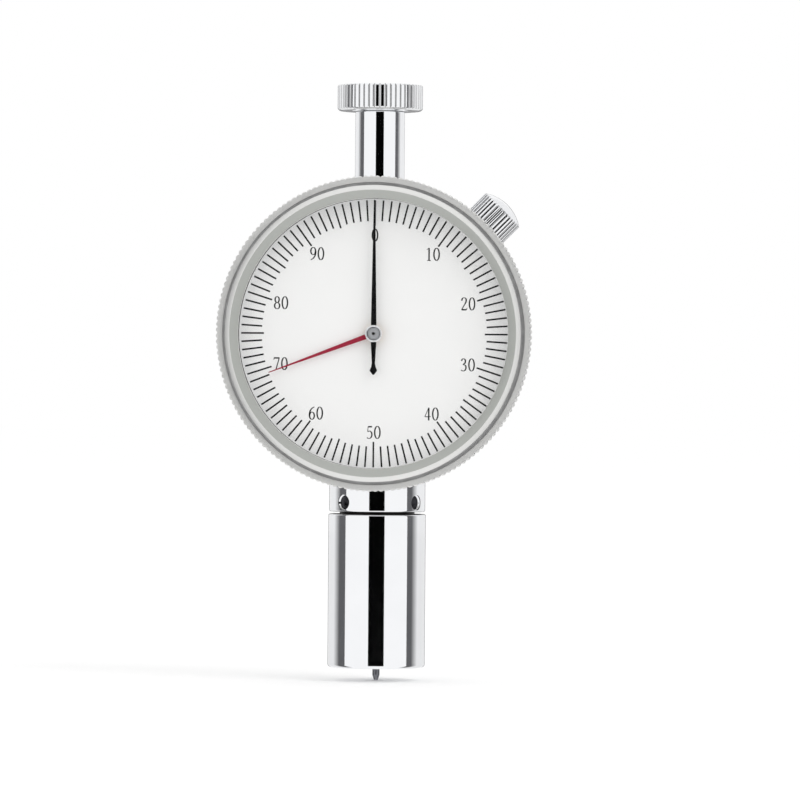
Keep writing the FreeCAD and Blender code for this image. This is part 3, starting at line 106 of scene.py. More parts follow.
# Ways to lay a lathe shape, which is always turned about Z
UPRIGHT = Matrix.Identity(4)
ON_DIAL_AXIS = Matrix.Translation(DIAL_CENTRE) @ Matrix.Rotation(math.radians(-90.0), 4, "X")
SIDE_KNOB_CENTRE = Matrix.Translation((0.0, KNOB_AXIS_Y, DIAL_CENTRE.z))
ON_SIDE_KNOB_AXIS = SIDE_KNOB_CENTRE @ Matrix.Rotation(KNOB_LEAN, 4, "Y")


# Sizes and colours


def length(name, description, default):
    return FloatProperty(
        name=name, description=description, default=mm(default), unit="LENGTH", precision=5
    )


def count(name, description, default):
    return IntProperty(name=name, description=description, default=default, min=3)


def colour(name, description, default):
    return FloatVectorProperty(
        name=name,
        description=description,
        default=linear(default),
        size=4,
        min=0.0,
        max=1.0,
        subtype="COLOR",
    )


class TesterSizes(PropertyGroup):
    tube_radius: length("Tube radius", "Radius of the presser foot tube", 9.35)
    tube_bore: length("Tube bore", "Radius of the bore for plunger and spring", 6.0)
    foot_hole: length("Foot hole", "Radius of the hole for the indenter", 1.5)
    collar_radius: length("Collar radius", "Radius of the collar above the tube", 9.225)
    screw_hole: length("Screw hole", "Radius of the tapped holes in the collar", 1.5)
    stem_radius: length("Stem radius", "Radius of the stem under the top knob", 4.75)
    top_knob_radius: length("Top knob radius", "Radius over the ridges of the top knob", 8.2)
    top_knob_ridges: count("Top knob ridges", "Ridges round the top knob", 50)
    top_knob_groove: length("Top knob groove", "Depth between the ridges of the top knob", 0.17)
    side_knob_radius: length("Side knob radius", "Radius over the ridges of the side knob", 4.6)
    side_knob_ridges: count("Side knob ridges", "Ridges round the side knob", 36)
    side_knob_groove: length("Side knob groove", "Depth between the ridges of the side knob", 0.2)
    bezel_radius: length("Bezel radius", "Radius over the ridges of the bezel", 30.0)
    bezel_ridges: count("Bezel ridges", "Ridges round the bezel", 168)
    bezel_groove: length("Bezel groove", "Depth between the ridges of the bezel", 0.36)
    crystal_radius: length("Crystal radius", "Radius of crystal, gasket and dial", 26.3)
    lip_radius: length("Lip radius", "Radius of the bezel's opening over the crystal", 25.6)
    tick_end: length("Tick end", "Radius where every mark of the scale ends", 25.4)
    unit_tick: length("Unit mark", "Length of the shortest marks", 3.95)
    five_tick: length("Five mark", "Length of the marks at the fives", 4.35)
    ten_tick: length("Ten mark", "Length of the marks at the tens", 4.85)
    tick_width: length("Mark width", "Width of every mark of the scale", 0.31)
    numeral_radius: length("Numeral circle", "Radius of the circle of numbers", 18.75)
    numeral_height: length("Numeral height", "Height of the numbers", 2.49)
    numeral_box: length("Numeral box", "Width of the box that a figure's strokes are drawn in", 2.52)
    numeral_pitch: length("Numeral pitch", "Distance between two figures", 1.48)
    black_hand: length("Black hand", "Length of the black hand", 25.4)
    red_hand: length("Red hand", "Length of the red hand", 21.4)
    hub_radius: length("Hub radius", "Radius of the polished ring on the hand", 1.65)


class TesterColours(PropertyGroup):
    chrome: colour("Chrome", "Polished chrome plate", "F5F6F8")
    nickel: colour("Nickel", "Satin nickel plate", "EAEAE8")
    # Darker nickel colour: painted shade on the slope round the crystal
    blasted: colour("Blasted nickel", "Blasted nickel on the slope round the crystal", "BABCB8")
    # Darker plate colour: painted shade in the grooves of the bezel and the top knob
    dull: colour("Dull plate", "Plate that the buffing wheel doesn't reach", "C2C2C2")
    # Near-black steel colour: painted shade in the gap under the collar, the side knob's grooves and the
    # hub cap's pit
    bare: colour("Bare steel", "Turned steel hidden under the collar", "2C2A29")
    brass: colour("Brass", "Turned brass", "D2AC62")
    steel: colour("Steel", "Ground steel", "B4B6B9")
    hard_steel: colour("Hardened steel", "Dark hardened steel of the indenter", "707176")
    spring: colour("Spring steel", "Oiled spring steel", "74787F")
    bronze: colour("Bronze", "Bearing bronze", "B98A58")
    black_oxide: colour("Black oxide", "Blackened screws", "3A3A3E")
    enamel: colour("Enamel", "White enamel of the dial", "FBFBFA")
    ink: colour("Ink", "Printing ink of the scale", "0B0B0D")
    black_lacquer: colour("Black lacquer", "Black lacquer of the long hand", "060608")
    crimson: colour("Crimson", "Crimson lacquer of the peak hand", "9C1434")
    rubber: colour("Rubber", "Black rubber of the gasket", "161616")
    aluminium: colour("Aluminium", "Satin aluminium of the spacer ring", "D5D6D8")
    glass: colour("Glass", "Mineral glass of the crystal", "FFFFFF")
    floor: colour("Floor", "Pale paper floor", "ECECEC")


# Materials


def add(tree, kind, settings=(), inputs=(), links=()):
    """Adds a shader node with its settings and input values, and links other nodes' outputs into it."""
    item = tree.nodes.new(kind)
    for key, value in dict(settings).items():
        setattr(item, key, value)
    for key, value in dict(inputs).items():
        item.inputs[key].default_value = value
    for key, output in dict(links).items():
        tree.links.new(output, item.inputs[key])
    return item


def start_material(name, inputs):
    """A material with a Principled surface, and where its patterns read their place."""
    material = bpy.data.materials.new(name)
    material.use_nodes = True
    tree = material.node_tree
    tree.nodes.clear()
    surface = add(tree, "ShaderNodeBsdfPrincipled", inputs=inputs)
    add(tree, "ShaderNodeOutputMaterial", links={"Surface": surface.outputs["BSDF"]})
    place = add(tree, "ShaderNodeTexCoord").outputs["Object"]
    return material, tree, surface, place


def vary(tree, surface, pattern, roughness=None, colours=None, relief=None):
    """Lets a 0 to 1 pattern take the roughness from one value to another, the base colour from one colour
    to another, and the surface up by a relief in metres."""
    if roughness:
        low, high = roughness
        range_inputs = {"To Min": low, "To Max": high}
        spread = add(tree, "ShaderNodeMapRange", inputs=range_inputs, links={"Value": pattern})
        tree.links.new(spread.outputs["Result"], surface.inputs["Roughness"])
    if colours:
        mix = add(tree, "ShaderNodeMix", {"data_type": "RGBA"}, links={"Factor": pattern})
        mix.inputs["A"].default_value, mix.inputs["B"].default_value = colours
        tree.links.new(mix.outputs["Result"], surface.inputs["Base Color"])
    if relief:
        bump_inputs = {"Strength": 1.0, "Distance": relief}
        bump = add(tree, "ShaderNodeBump", inputs=bump_inputs, links={"Height": pattern})
        tree.links.new(bump.outputs["Normal"], surface.inputs["Normal"])


def shades(base, dark, light):
    """A colour made darker and lighter by two factors."""
    return [tuple(min(1.0, channel * amount) for channel in base[:3]) + (1.0,) for amount in (dark, light)]


# How far apart the waves of a wave texture are at a scale of 1
UNIT_WAVE = 0.31416


def turning_marks(tree, place, spacing):
    """Fine rings about the dial's axis, so far apart in metres."""
    centred = add(
        tree,
        "ShaderNodeMapping",
        {"vector_type": "POINT"},
        {"Location": tuple(-value for value in DIAL_CENTRE)},
        {"Vector": place},
    )
    return add(
        tree,
        "ShaderNodeTexWave",
        {"wave_type": "RINGS", "rings_direction": "Y"},
        {"Scale": UNIT_WAVE / spacing, "Distortion": 0.6, "Detail": 2.0, "Detail Scale": 0.5},
        {"Vector": centred.outputs["Vector"]},
    ).outputs["Fac"]


def buffed_chrome(colours):
    """Hard chrome over a buffed base: a near mirror, with the buffing's faint waviness and wiped haze."""
    material, tree, surface, place = start_material("buffed_chrome", {"Metallic": 1.0})
    haze = add(
        tree, "ShaderNodeTexNoise", inputs={"Scale": 1.0 / mm(7.0), "Detail": 3.0}, links={"Vector": place}
    ).outputs["Fac"]
    waves = add(
        tree, "ShaderNodeTexNoise", inputs={"Scale": 1.0 / mm(9.0), "Detail": 1.0}, links={"Vector": place}
    ).outputs["Fac"]
    vary(tree, surface, haze, roughness=(0.03, 0.07), colours=shades(colours.chrome, 0.97, 1.03))
    vary(tree, surface, waves, relief=mm(0.003))
    return material


def turned_nickel_plate(colours):
    """Nickel plate over a finely turned face: soft reflections drawn out across the turning marks."""
    material, tree, surface, place = start_material("turned_nickel_plate", {"Metallic": 1.0})
    # Real marks are 0.03 mm apart, drawn coarser so that they show
    marks = turning_marks(tree, place, mm(0.11))
    haze = add(
        tree, "ShaderNodeTexNoise", inputs={"Scale": 1.0 / mm(11.0), "Detail": 3.0}, links={"Vector": place}
    ).outputs["Fac"]
    vary(tree, surface, marks, roughness=(0.4, 0.5), relief=mm(0.0012))
    vary(tree, surface, haze, colours=shades(colours.nickel, 0.96, 1.03))
    return material


def blasted_nickel(colours):
    """Nickel with a bead blast finish on the slope round the crystal: rough and fine as frost, without
    reflections; its even, darker grey is painted shade of the slope.
    """
    material, tree, surface, place = start_material("blasted_nickel", {"Metallic": 1.0})
    # Real pits are 0.05 mm across, drawn coarser so that they show
    pits = add(
        tree, "ShaderNodeTexNoise", inputs={"Scale": 1.0 / mm(0.12), "Detail": 2.0}, links={"Vector": place}
    ).outputs["Fac"]
    tones = shades(colours.blasted, 0.94, 1.05)
    vary(tree, surface, pits, roughness=(0.42, 0.6), colours=tones, relief=mm(0.0015))
    return material


def dull_plate(colours):
    """Plate in the bottom of grooves: rougher, and darker in colour as painted shade of the groove."""
    material, tree, surface, place = start_material("dull_plate", {"Metallic": 1.0})
    cloud = add(
        tree, "ShaderNodeTexNoise", inputs={"Scale": 1.0 / mm(1.2), "Detail": 4.0}, links={"Vector": place}
    ).outputs["Fac"]
    tones = shades(colours.dull, 0.8, 1.15)
    vary(tree, surface, cloud, roughness=(0.3, 0.5), colours=tones, relief=mm(0.001))
    return material


def bare_turned_steel(colours):
    """Turned steel with its turning marks, near black as painted shade: in the gap under the collar, in the
    side knob's grooves and in the hub cap's pit.
    """
    material, tree, surface, place = start_material("bare_turned_steel", {"Metallic": 1.0})
    # Real marks are 0.05 mm apart, drawn coarser so that they show
    marks = add(
        tree,
        "ShaderNodeTexWave",
        {"wave_type": "BANDS", "bands_direction": "Z"},
        {"Scale": UNIT_WAVE / mm(0.12), "Distortion": 0.4},
        {"Vector": place},
    ).outputs["Fac"]
    tones = shades(colours.bare, 0.7, 1.4)
    vary(tree, surface, marks, roughness=(0.36, 0.5), colours=tones, relief=mm(0.002))
    return material


def lathe_turned_brass(colours):
    """Free-cutting brass straight from the lathe: warm and bright, dulled in soft patches by handling."""
    material, tree, surface, place = start_material("lathe_turned_brass", {"Metallic": 1.0})
    # Real marks are 0.05 mm apart, drawn coarser so that they show
    marks = turning_marks(tree, place, mm(0.16))
    dull = add(
        tree, "ShaderNodeTexNoise", inputs={"Scale": 1.0 / mm(3.0), "Detail": 3.0}, links={"Vector": place}
    ).outputs["Fac"]
    vary(tree, surface, marks, roughness=(0.18, 0.32), relief=mm(0.001))
    vary(tree, surface, dull, colours=shades(colours.brass, 0.86, 1.06))
    return material


def ground_steel(colours):
    """Ground tool steel, lightly polished: even grey with a grain of fine scratches round the shaft."""
    material, tree, surface, place = start_material("ground_steel", {"Metallic": 1.0})
    stretched = add(tree, "ShaderNodeMapping", inputs={"Scale": (1.0, 1.0, 9.0)}, links={"Vector": place})
    scratches = add(
        tree,
        "ShaderNodeTexNoise",
        inputs={"Scale": 1.0 / mm(0.8), "Detail": 6.0},
        links={"Vector": stretched.outputs["Vector"]},
    ).outputs["Fac"]
    tones = shades(colours.steel, 0.92, 1.05)
    vary(tree, surface, scratches, roughness=(0.14, 0.34), colours=tones, relief=mm(0.001))
    return material


def turned_cap_steel(colours):
    """A small steel dome straight from the lathe: grey, with bright rings where the tool left a polish."""
    material, tree, surface, place = start_material("turned_cap_steel", {"Metallic": 1.0})
    # Real marks are 0.05 mm apart, drawn coarser so that they show
    marks = turning_marks(tree, place, mm(0.3))
    tones = shades(colours.steel, 0.55, 1.1)
    vary(tree, surface, marks, roughness=(0.12, 0.3), colours=tones, relief=mm(0.012))
    return material


def lapped_hard_steel(colours):
    """Hardened and lapped steel, dark from heat treatment and brighter where it has been lapped."""
    material, tree, surface, place = start_material("lapped_hard_steel", {"Metallic": 1.0})
    lapped = add(
        tree, "ShaderNodeTexNoise", inputs={"Scale": 1.0 / mm(0.5), "Detail": 4.0}, links={"Vector": place}
    ).outputs["Fac"]
    tones = shades(colours.hard_steel, 0.7, 1.3)
    vary(tree, surface, lapped, roughness=(0.14, 0.24), colours=tones, relief=mm(0.0006))
    return material


def oiled_spring_wire(colours):
    """Drawn spring wire with a film of oil: blue-grey, glossy in places."""
    material, tree, surface, place = start_material("oiled_spring_wire", {"Metallic": 1.0})
    oil = add(
        tree, "ShaderNodeTexNoise", inputs={"Scale": 1.0 / mm(2.5), "Detail": 4.0}, links={"Vector": place}
    ).outputs["Fac"]
    drawn = add(
        tree, "ShaderNodeTexNoise", inputs={"Scale": 1.0 / mm(0.2), "Detail": 2.0}, links={"Vector": place}
    ).outputs["Fac"]
    vary(tree, surface, oil, roughness=(0.16, 0.42), colours=shades(colours.spring, 0.8, 1.1))
    vary(tree, surface, drawn, relief=mm(0.0008))
    return material


def bearing_bronze(colours):
    """Sintered bearing bronze: brown-gold, with tiny open pores that hold the oil."""
    material, tree, surface, place = start_material("bearing_bronze", {"Metallic": 1.0})
    # Real pores are 0.02 mm across, drawn coarser so that they show
    pores = add(
        tree, "ShaderNodeTexVoronoi", inputs={"Scale": 1.0 / mm(0.12)}, links={"Vector": place}
    ).outputs["Distance"]
    tones = shades(colours.bronze, 0.75, 1.05)
    vary(tree, surface, pores, roughness=(0.5, 0.3), colours=tones, relief=mm(0.002))
    return material


def black_oxide_steel(colours):
    """Blackened alloy steel of socket set screws: near black with a dry grey bloom."""
    material, tree, surface, place = start_material("black_oxide_steel", {"Metallic": 0.85})
    bloom = add(
        tree, "ShaderNodeTexNoise", inputs={"Scale": 1.0 / mm(0.7), "Detail": 5.0}, links={"Vector": place}
    ).outputs["Fac"]
    tones = shades(colours.black_oxide, 0.7, 1.8)
    vary(tree, surface, bloom, roughness=(0.34, 0.55), colours=tones, relief=mm(0.002))
    return material


def dial_enamel(colours):
    """Baked white enamel on sheet metal: clean white, half gloss, with a faint flow of the paint."""
    material, tree, surface, place = start_material(
        "dial_enamel", {"Roughness": 0.38, "IOR": 1.5, "Coat Weight": 0.15, "Coat Roughness": 0.2}
    )
    flow = add(
        tree, "ShaderNodeTexNoise", inputs={"Scale": 1.0 / mm(6.0), "Detail": 2.0}, links={"Vector": place}
    ).outputs["Fac"]
    vary(tree, surface, flow, colours=shades(colours.enamel, 0.985, 1.01), relief=mm(0.003))
    return material


def printing_ink(colours):
    """Pad-printed epoxy ink: flat black with a slightly uneven film."""
    material, tree, surface, place = start_material(
        "printing_ink", {"IOR": 1.5, "Specular IOR Level": 0.3}
    )
    film = add(
        tree, "ShaderNodeTexNoise", inputs={"Scale": 1.0 / mm(0.25), "Detail": 3.0}, links={"Vector": place}
    ).outputs["Fac"]
    vary(tree, surface, film, roughness=(0.45, 0.62), colours=shades(colours.ink, 0.8, 1.5))
    return material


def black_lacquer(colours):
    """Stoved black lacquer on the blanked hand: deep black, smooth and half gloss."""
    material, tree, surface, place = start_material(
        "black_lacquer", {"IOR": 1.5, "Specular IOR Level": 0.3}
    )
    film = add(
        tree, "ShaderNodeTexNoise", inputs={"Scale": 1.0 / mm(0.6), "Detail": 3.0}, links={"Vector": place}
    ).outputs["Fac"]
    vary(tree, surface, film, roughness=(0.22, 0.34), colours=shades(colours.black_lacquer, 0.8, 1.4))
    return material


def crimson_lacquer(colours):
    """Sprayed crimson lacquer: a clear red, a little lighter where the film is thin."""
    material, tree, surface, place = start_material("crimson_lacquer", {"IOR": 1.5, "Coat Weight": 0.3})
    film = add(
        tree, "ShaderNodeTexNoise", inputs={"Scale": 1.0 / mm(0.8), "Detail": 3.0}, links={"Vector": place}
    ).outputs["Fac"]
    vary(tree, surface, film, roughness=(0.25, 0.38), colours=shades(colours.crimson, 0.88, 1.15))
    return material


def nitrile_rubber(colours):
    """Moulded nitrile rubber: matt black with a dusty bloom."""
    material, tree, surface, place = start_material(
        "nitrile_rubber", {"IOR": 1.52, "Specular IOR Level": 0.35}
    )
    bloom = add(
        tree, "ShaderNodeTexNoise", inputs={"Scale": 1.0 / mm(1.5), "Detail": 5.0}, links={"Vector": place}
    ).outputs["Fac"]
    tones = shades(colours.rubber, 0.8, 1.6)
    vary(tree, surface, bloom, roughness=(0.6, 0.8), colours=tones, relief=mm(0.004))
    return material


def satin_aluminium(colours):
    """Turned and clear anodised aluminium: pale, soft and a little grainy."""
    material, tree, surface, place = start_material("satin_aluminium", {"Metallic": 1.0})
    # Real marks are 0.05 mm apart, drawn coarser so that they show
    marks = turning_marks(tree, place, mm(0.14))
    cloud = add(
        tree, "ShaderNodeTexNoise", inputs={"Scale": 1.0 / mm(4.0), "Detail": 3.0}, links={"Vector": place}
    ).outputs["Fac"]
    vary(tree, surface, marks, roughness=(0.36, 0.48), relief=mm(0.001))
    vary(tree, surface, cloud, colours=shades(colours.aluminium, 0.95, 1.03))
    return material


def mineral_glass(colours):
    """Flat mineral glass: clear from the front, a mirror at a glancing look, with a trace of wiping."""
    material, tree, surface, place = start_material(
        "mineral_glass", {"Base Color": tuple(colours.glass), "Metallic": 1.0, "Alpha": 0.05}
    )
    glancing = add(tree, "ShaderNodeLayerWeight", inputs={"Blend": 0.5}).outputs["Facing"]
    steep = add(tree, "ShaderNodeMath", {"operation": "POWER"}, {1: 5.0}, {0: glancing}).outputs["Value"]
    mirrored = add(
        tree, "ShaderNodeMapRange", inputs={"To Min": 0.02, "To Max": 1.0}, links={"Value": steep}
    ).outputs["Result"]
    tree.links.new(mirrored, surface.inputs["Alpha"])
    wiping = add(
        tree, "ShaderNodeTexNoise", inputs={"Scale": 1.0 / mm(12.0), "Detail": 3.0}, links={"Vector": place}
    ).outputs["Fac"]
    vary(tree, surface, wiping, roughness=(0.01, 0.04))
    return material


MATERIAL_OF_SLOT = {
    "polished_chrome": buffed_chrome,
    "satin_nickel": turned_nickel_plate,
    "turned_brass": lathe_turned_brass,
    "bright_steel": ground_steel,
    "hardened_steel": lapped_hard_steel,
    "spring_steel": oiled_spring_wire,
    "bronze_bush": bearing_bronze,
    "black_screw_steel": black_oxide_steel,
    "dial_white": dial_enamel,
    "hand_black": black_lacquer,
    "hand_red": crimson_lacquer,
    "black_rubber": nitrile_rubber,
    "spacer_aluminium": satin_aluminium,
    "crystal_glass": mineral_glass,
}


def finish(make, colours):
    """The material that a function makes, made on its first use."""
    return bpy.data.materials.get(make.__name__) or make(colours)


# Shaping tools

# Corners of one piece that lie nearer than this become one
MERGE = mm(0.0004)
# How far a corner of a facet may lie off its true round wall
OFF_WALL = mm(0.02)


def lathe(profile, steps, laid, ring=False, repeats=1):
    """Turns an outline of (radius, along, rounding) in metres about an axis. A ring's outline is closed.
    Many steps go faster as repeats of one sector."""
    shape = bmesh.new()
    corners = [shape.verts.new((radius, 0.0, along)) for radius, along, rounding in profile]
    ends = corners[1:] + corners[:1] if ring else corners[1:]
    for start, end in zip(corners, ends):
        shape.edges.new((start, end))
    for corner, (radius, along, rounding) in zip(corners, profile):
        if rounding:
            bmesh.ops.bevel(
                shape,
                geom=[corner],
                offset=rounding,
                offset_type="OFFSET",
                segments=4,
                profile=0.5,
                affect="VERTICES",
                material=-1,
            )
    sector = 2 * math.pi / repeats
    bmesh.ops.spin(
        shape,
        geom=shape.verts[:] + shape.edges[:],
        axis=(0.0, 0.0, 1.0),
        angle=sector,
        steps=steps // repeats,
        use_merge=repeats == 1,
    )
    if repeats > 1:
        bmesh.ops.spin(
            shape,
            geom=shape.verts[:] + shape.edges[:] + shape.faces[:],
            axis=(0.0, 0.0, 1.0),
            angle=2 * math.pi - sector,
            steps=repeats - 1,
            use_duplicate=True,
        )
    bmesh.ops.remove_doubles(shape, verts=shape.verts, dist=MERGE)
    bmesh.ops.recalc_face_normals(shape, faces=shape.faces)
    shape.transform(laid)
    return shape


def from_ridge(place, ridges):
    """How far a place is from the middle of its ridge, 0, towards the groove beside it, 1."""
    pitches = math.atan2(place.y, place.x) * ridges / (2 * math.pi)
    return abs(2 * (pitches - math.floor(pitches)) - 1)


def knurl(shape, ridges, radius, depth, flatness, valley, laid):
    """Presses straight grooves into the rim of a lathe shape. The ridges are round with a flatness of 2
    and flat with a higher one. What lies nearer to a groove than the valley's share gets material 1, the
    painted shade of the groove."""
    back = laid.inverted()
    for vert in shape.verts:
        place = back @ vert.co
        across = math.hypot(place.x, place.y)
        limit = radius - depth * from_ridge(place, ridges) ** flatness
        if across > limit:
            place.x *= limit / across
            place.y *= limit / across
            vert.co = laid @ place
    for face in shape.faces:
        place = back @ face.calc_center_median()
        if from_ridge(place, ridges) > valley and math.hypot(place.x, place.y) > radius - 1.2 * depth:
            face.material_index = 1


def give(shape, laid, number, test):
    """Gives a numbered material to the faces whose radius and place along the axis pass a test."""
    back = laid.inverted()
    for face in shape.faces:
        place = back @ face.calc_center_median()
        if test(math.hypot(place.x, place.y), place.z):
            face.material_index = number


def arc(base_r, base, rise, runs=8):
    """The points of a low dome on an outline, from its edge to its top on the axis."""
    radius = (base_r**2 + rise**2) / (2 * abs(rise))
    side = math.copysign(1.0, rise)
    points = []
    for number in range(1, runs + 1):
        across = base_r * (1 - number / runs)
        height = math.sqrt(radius**2 - across**2) - (radius - abs(rise))
        points.append((across, base + side * height, 0.0))
    return points


def evaluated(piece):
    """Applies a piece's modifiers to its mesh."""
    depsgraph = bpy.context.evaluated_depsgraph_get()
    mesh = bpy.data.meshes.new_from_object(piece.evaluated_get(depsgraph))
    piece.modifiers.clear()
    piece.data = mesh


def combine(context, shape, tool, operation):
    """Cuts one bmesh with another, or joins the two into one skin."""
    objects = []
    for name, source in (("blank", shape), ("tool", tool)):
        mesh = bpy.data.meshes.new(name)
        source.to_mesh(mesh)
        source.free()
        objects.append(bpy.data.objects.new(name, mesh))
        context.scene.collection.objects.link(objects[-1])
    blank, cutter = objects
    modifier = blank.modifiers.new("cut", "BOOLEAN")
    modifier.operation = operation
    modifier.solver = "EXACT"
    modifier.object = cutter
    evaluated(blank)
    result = bmesh.new()
    result.from_mesh(blank.data)
    for item in objects:
        bpy.data.objects.remove(item)
    return result


def hand_in(context, name, shape, node, coat=None, more=(), crease=32.0, stretch=None):
    """Makes a bmesh a smooth finished piece that stands for its node, on that node's body and with its
    material, and more materials for the faces that ask for them. A piece with a coat of its own lies on the
    piece that stands for the node. A piece that stretches is left where it stands, on no body; the two
    bodies and two ends that it is given are not used."""
    mesh = bpy.data.meshes.new(name)
    shape.to_mesh(mesh)
    shape.free()
    mesh.shade_smooth()
    mesh.set_sharp_from_angle(angle=math.radians(crease))
    for make in (coat or MATERIAL_OF_SLOT[SLOT_OF[node]], *more):
        mesh.materials.append(finish(make, context.scene.tester_colours))
    piece = bpy.data.objects.new(name, mesh)
    context.scene.collection.objects.link(piece)
    weighted = piece.modifiers.new("even_shading", "WEIGHTED_NORMAL")
    weighted.keep_sharp = True
    if stretch:
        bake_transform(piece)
    else:
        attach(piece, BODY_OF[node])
    if not coat:
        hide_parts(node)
    return piece


def smooth_copy(node):
    """A copy of a CAD node as one skin, for shading it smooth."""
    shape = bmesh.new()
    shape.from_mesh(frame["nodes"][node].data)
    bmesh.ops.remove_doubles(shape, verts=shape.verts, dist=mm(0.0005))
    return shape


def true_walls(piece, walls):
    """Gives the facets of round walls the normals of their true cylinder, and flat faces their own. A wall
    is a point on its axis, the axis and the radius."""
    piece.modifiers.clear()
    mesh = piece.data
    normals = [Vector(corner.vector) for corner in mesh.corner_normals]
    for face in mesh.polygons:
        for centre, axis, radius in walls:
            if abs(face.normal.dot(axis)) > 0.9999:
                for corner in face.loop_indices:
                    normals[corner] = face.normal.copy()
            offsets = [mesh.vertices[number].co - centre for number in face.vertices]
            spokes = [offset - axis * offset.dot(axis) for offset in offsets]
            on_wall = all(abs(spoke.length - radius) < OFF_WALL for spoke in spokes)
            if on_wall and abs(face.normal.dot(axis)) < 0.1:
                side = math.copysign(1.0, face.normal.dot(sum(spokes, Vector())))
                for corner, spoke in zip(face.loop_indices, spokes):
                    normals[corner] = spoke.normalized() * side
    mesh.normals_split_custom_set(normals)


def outward(angle_deg):
    """From the plunger's axis outwards. The angle is from the front towards +X."""
    angle = math.radians(angle_deg)
    return Vector((math.sin(angle), -math.cos(angle), 0.0))


# Foot, collar, stem and top knob


class TESTER_OT_tube(Operator):
    """Presser foot tube, polished, with its bore open to the plunger"""

    bl_idname = "tester.tube"
    bl_label = "Presser foot tube"

    def execute(self, context):
        sizes = context.scene.tester_sizes
        floor = mm(3.5)
        # Only the outer edge of the shoulder under the collar is polished chrome; inside it the shoulder
        # and the spigot are near black, painted shade of the gap
        shade_radius = sizes.tube_radius - mm(0.4)
        profile = [
            (sizes.foot_hole, 0.0, mm(0.12)),
            (sizes.tube_radius, 0.0, mm(0.6)),
            (sizes.tube_radius, TUBE_TOP, mm(0.25)),
            (SPIGOT_R, TUBE_TOP, 0.0),
            (SPIGOT_R, SPIGOT_TOP, mm(0.2)),
            (sizes.tube_bore, SPIGOT_TOP, mm(0.1)),
            (sizes.tube_bore, floor, mm(0.1)),
            (sizes.foot_hole, floor, 0.0),
        ]
        shape = lathe(profile, 192, UPRIGHT, ring=True)
        shade_height = TUBE_TOP - mm(0.02)
        give(shape, UPRIGHT, 1, lambda radius, along: along > shade_height and radius < shade_radius)
        hand_in(context, "presser_foot", shape, "presser_foot_tube", more=(bare_turned_steel,))
        return {"FINISHED"}


class TESTER_OT_indenter(Operator):
    """Indenter, a hardened pin whose cone ends in a small flat"""

    bl_idname = "tester.indenter"
    bl_label = "Indenter"

    def execute(self, context):
        tip_r = mm(0.395)
        pin_r = mm(0.7)
        cone = (pin_r - tip_r) / math.tan(math.radians(17.5))
        profile = [
            (0.0, TIP_LOW, 0.0),
            (tip_r, TIP_LOW, mm(0.02)),
            (pin_r, TIP_LOW + cone, mm(0.05)),
            (pin_r, TIP_HIGH, mm(0.05)),
            (0.0, TIP_HIGH, 0.0),
        ]
        hand_in(context, "indenter_pin", lathe(profile, 64, UPRIGHT), "indenter", crease=20.0)
        return {"FINISHED"}


class TESTER_OT_collar(Operator):
    """Collar with three tapped holes, and the set screws sunk in them"""

    bl_idname = "tester.collar"
    bl_label = "Collar and set screws"

    def execute(self, context):
        sizes = context.scene.tester_sizes
        inner = SPIGOT_R + mm(0.05)
        profile = [
            (inner, COLLAR_LOW, 0.0),
            (sizes.collar_radius, COLLAR_LOW, mm(0.3)),
            (sizes.collar_radius, COLLAR_HIGH, mm(0.18)),
            (inner, COLLAR_HIGH, 0.0),
        ]
        shape = lathe(profile, 256, UPRIGHT, ring=True)
        for angle in SCREW_ANGLES:
            direction = outward(angle)
            turn = direction.to_track_quat("Z", "X").to_matrix().to_4x4()
            laid = Matrix.Translation((0.0, 0.0, SCREW_Z)) @ turn
            shape = combine(context, shape, self.tapped_hole(sizes, laid), "DIFFERENCE")
        # The collar's underside and bore are near black, painted shade of the gap over the tube
        shade_bore_radius = inner + mm(0.05)
        give(shape, UPRIGHT, 1, lambda radius, along: along < COLLAR_LOW + mm(0.01) or radius < shade_bore_radius)
        hand_in(context, "collar", shape, "tube_collar", more=(bare_turned_steel,))
        hand_in(context, "set_screws", smooth_copy("collar_set_screws"), "collar_set_screws")
        return {"FINISHED"}

    def tapped_hole(self, sizes, laid):
        """The space of a threaded hole: plain round the screw, then thread rings up to the mouth."""
        root, crest = sizes.screw_hole, sizes.screw_hole - mm(0.13)
        inside, outside = mm(6.0), mm(11.0)
        screw_face = sizes.collar_radius - mm(0.75)
        thread = [(crest, 0.1), (root, 0.22), (crest, 0.34), (root, 0.46)]
        profile = [(0.0, inside, 0.0), (root, inside, 0.0), (root, screw_face, 0.0)]
        profile += [(radius, screw_face + mm(along), 0.0) for radius, along in thread]
        profile += [(root, outside, 0.0), (0.0, outside, 0.0)]
        return lathe(profile, 48, laid)


class TESTER_OT_stem(Operator):
    """Stem between the case and the top knob"""

    bl_idname = "tester.stem"
    bl_label = "Stem"

    def execute(self, context):
        sizes = context.scene.tester_sizes
        spigot = mm(3.5)
        seat = STEM_LOW + mm(4.0)
        bore = mm(2.03)
        bore_end = STEM_HIGH - mm(6.6)
        profile = [
            (0.0, STEM_LOW, 0.0),
            (spigot, STEM_LOW, mm(0.2)),
            (spigot, seat, 0.0),
            (sizes.stem_radius, seat, mm(0.1)),
            (sizes.stem_radius, STEM_HIGH, mm(0.2)),
            (bore, STEM_HIGH, mm(0.1)),
            (bore, bore_end, 0.0),
            (0.0, bore_end, 0.0),
        ]
        hand_in(context, "stem", lathe(profile, 128, UPRIGHT), "handle_stem")
        return {"FINISHED"}


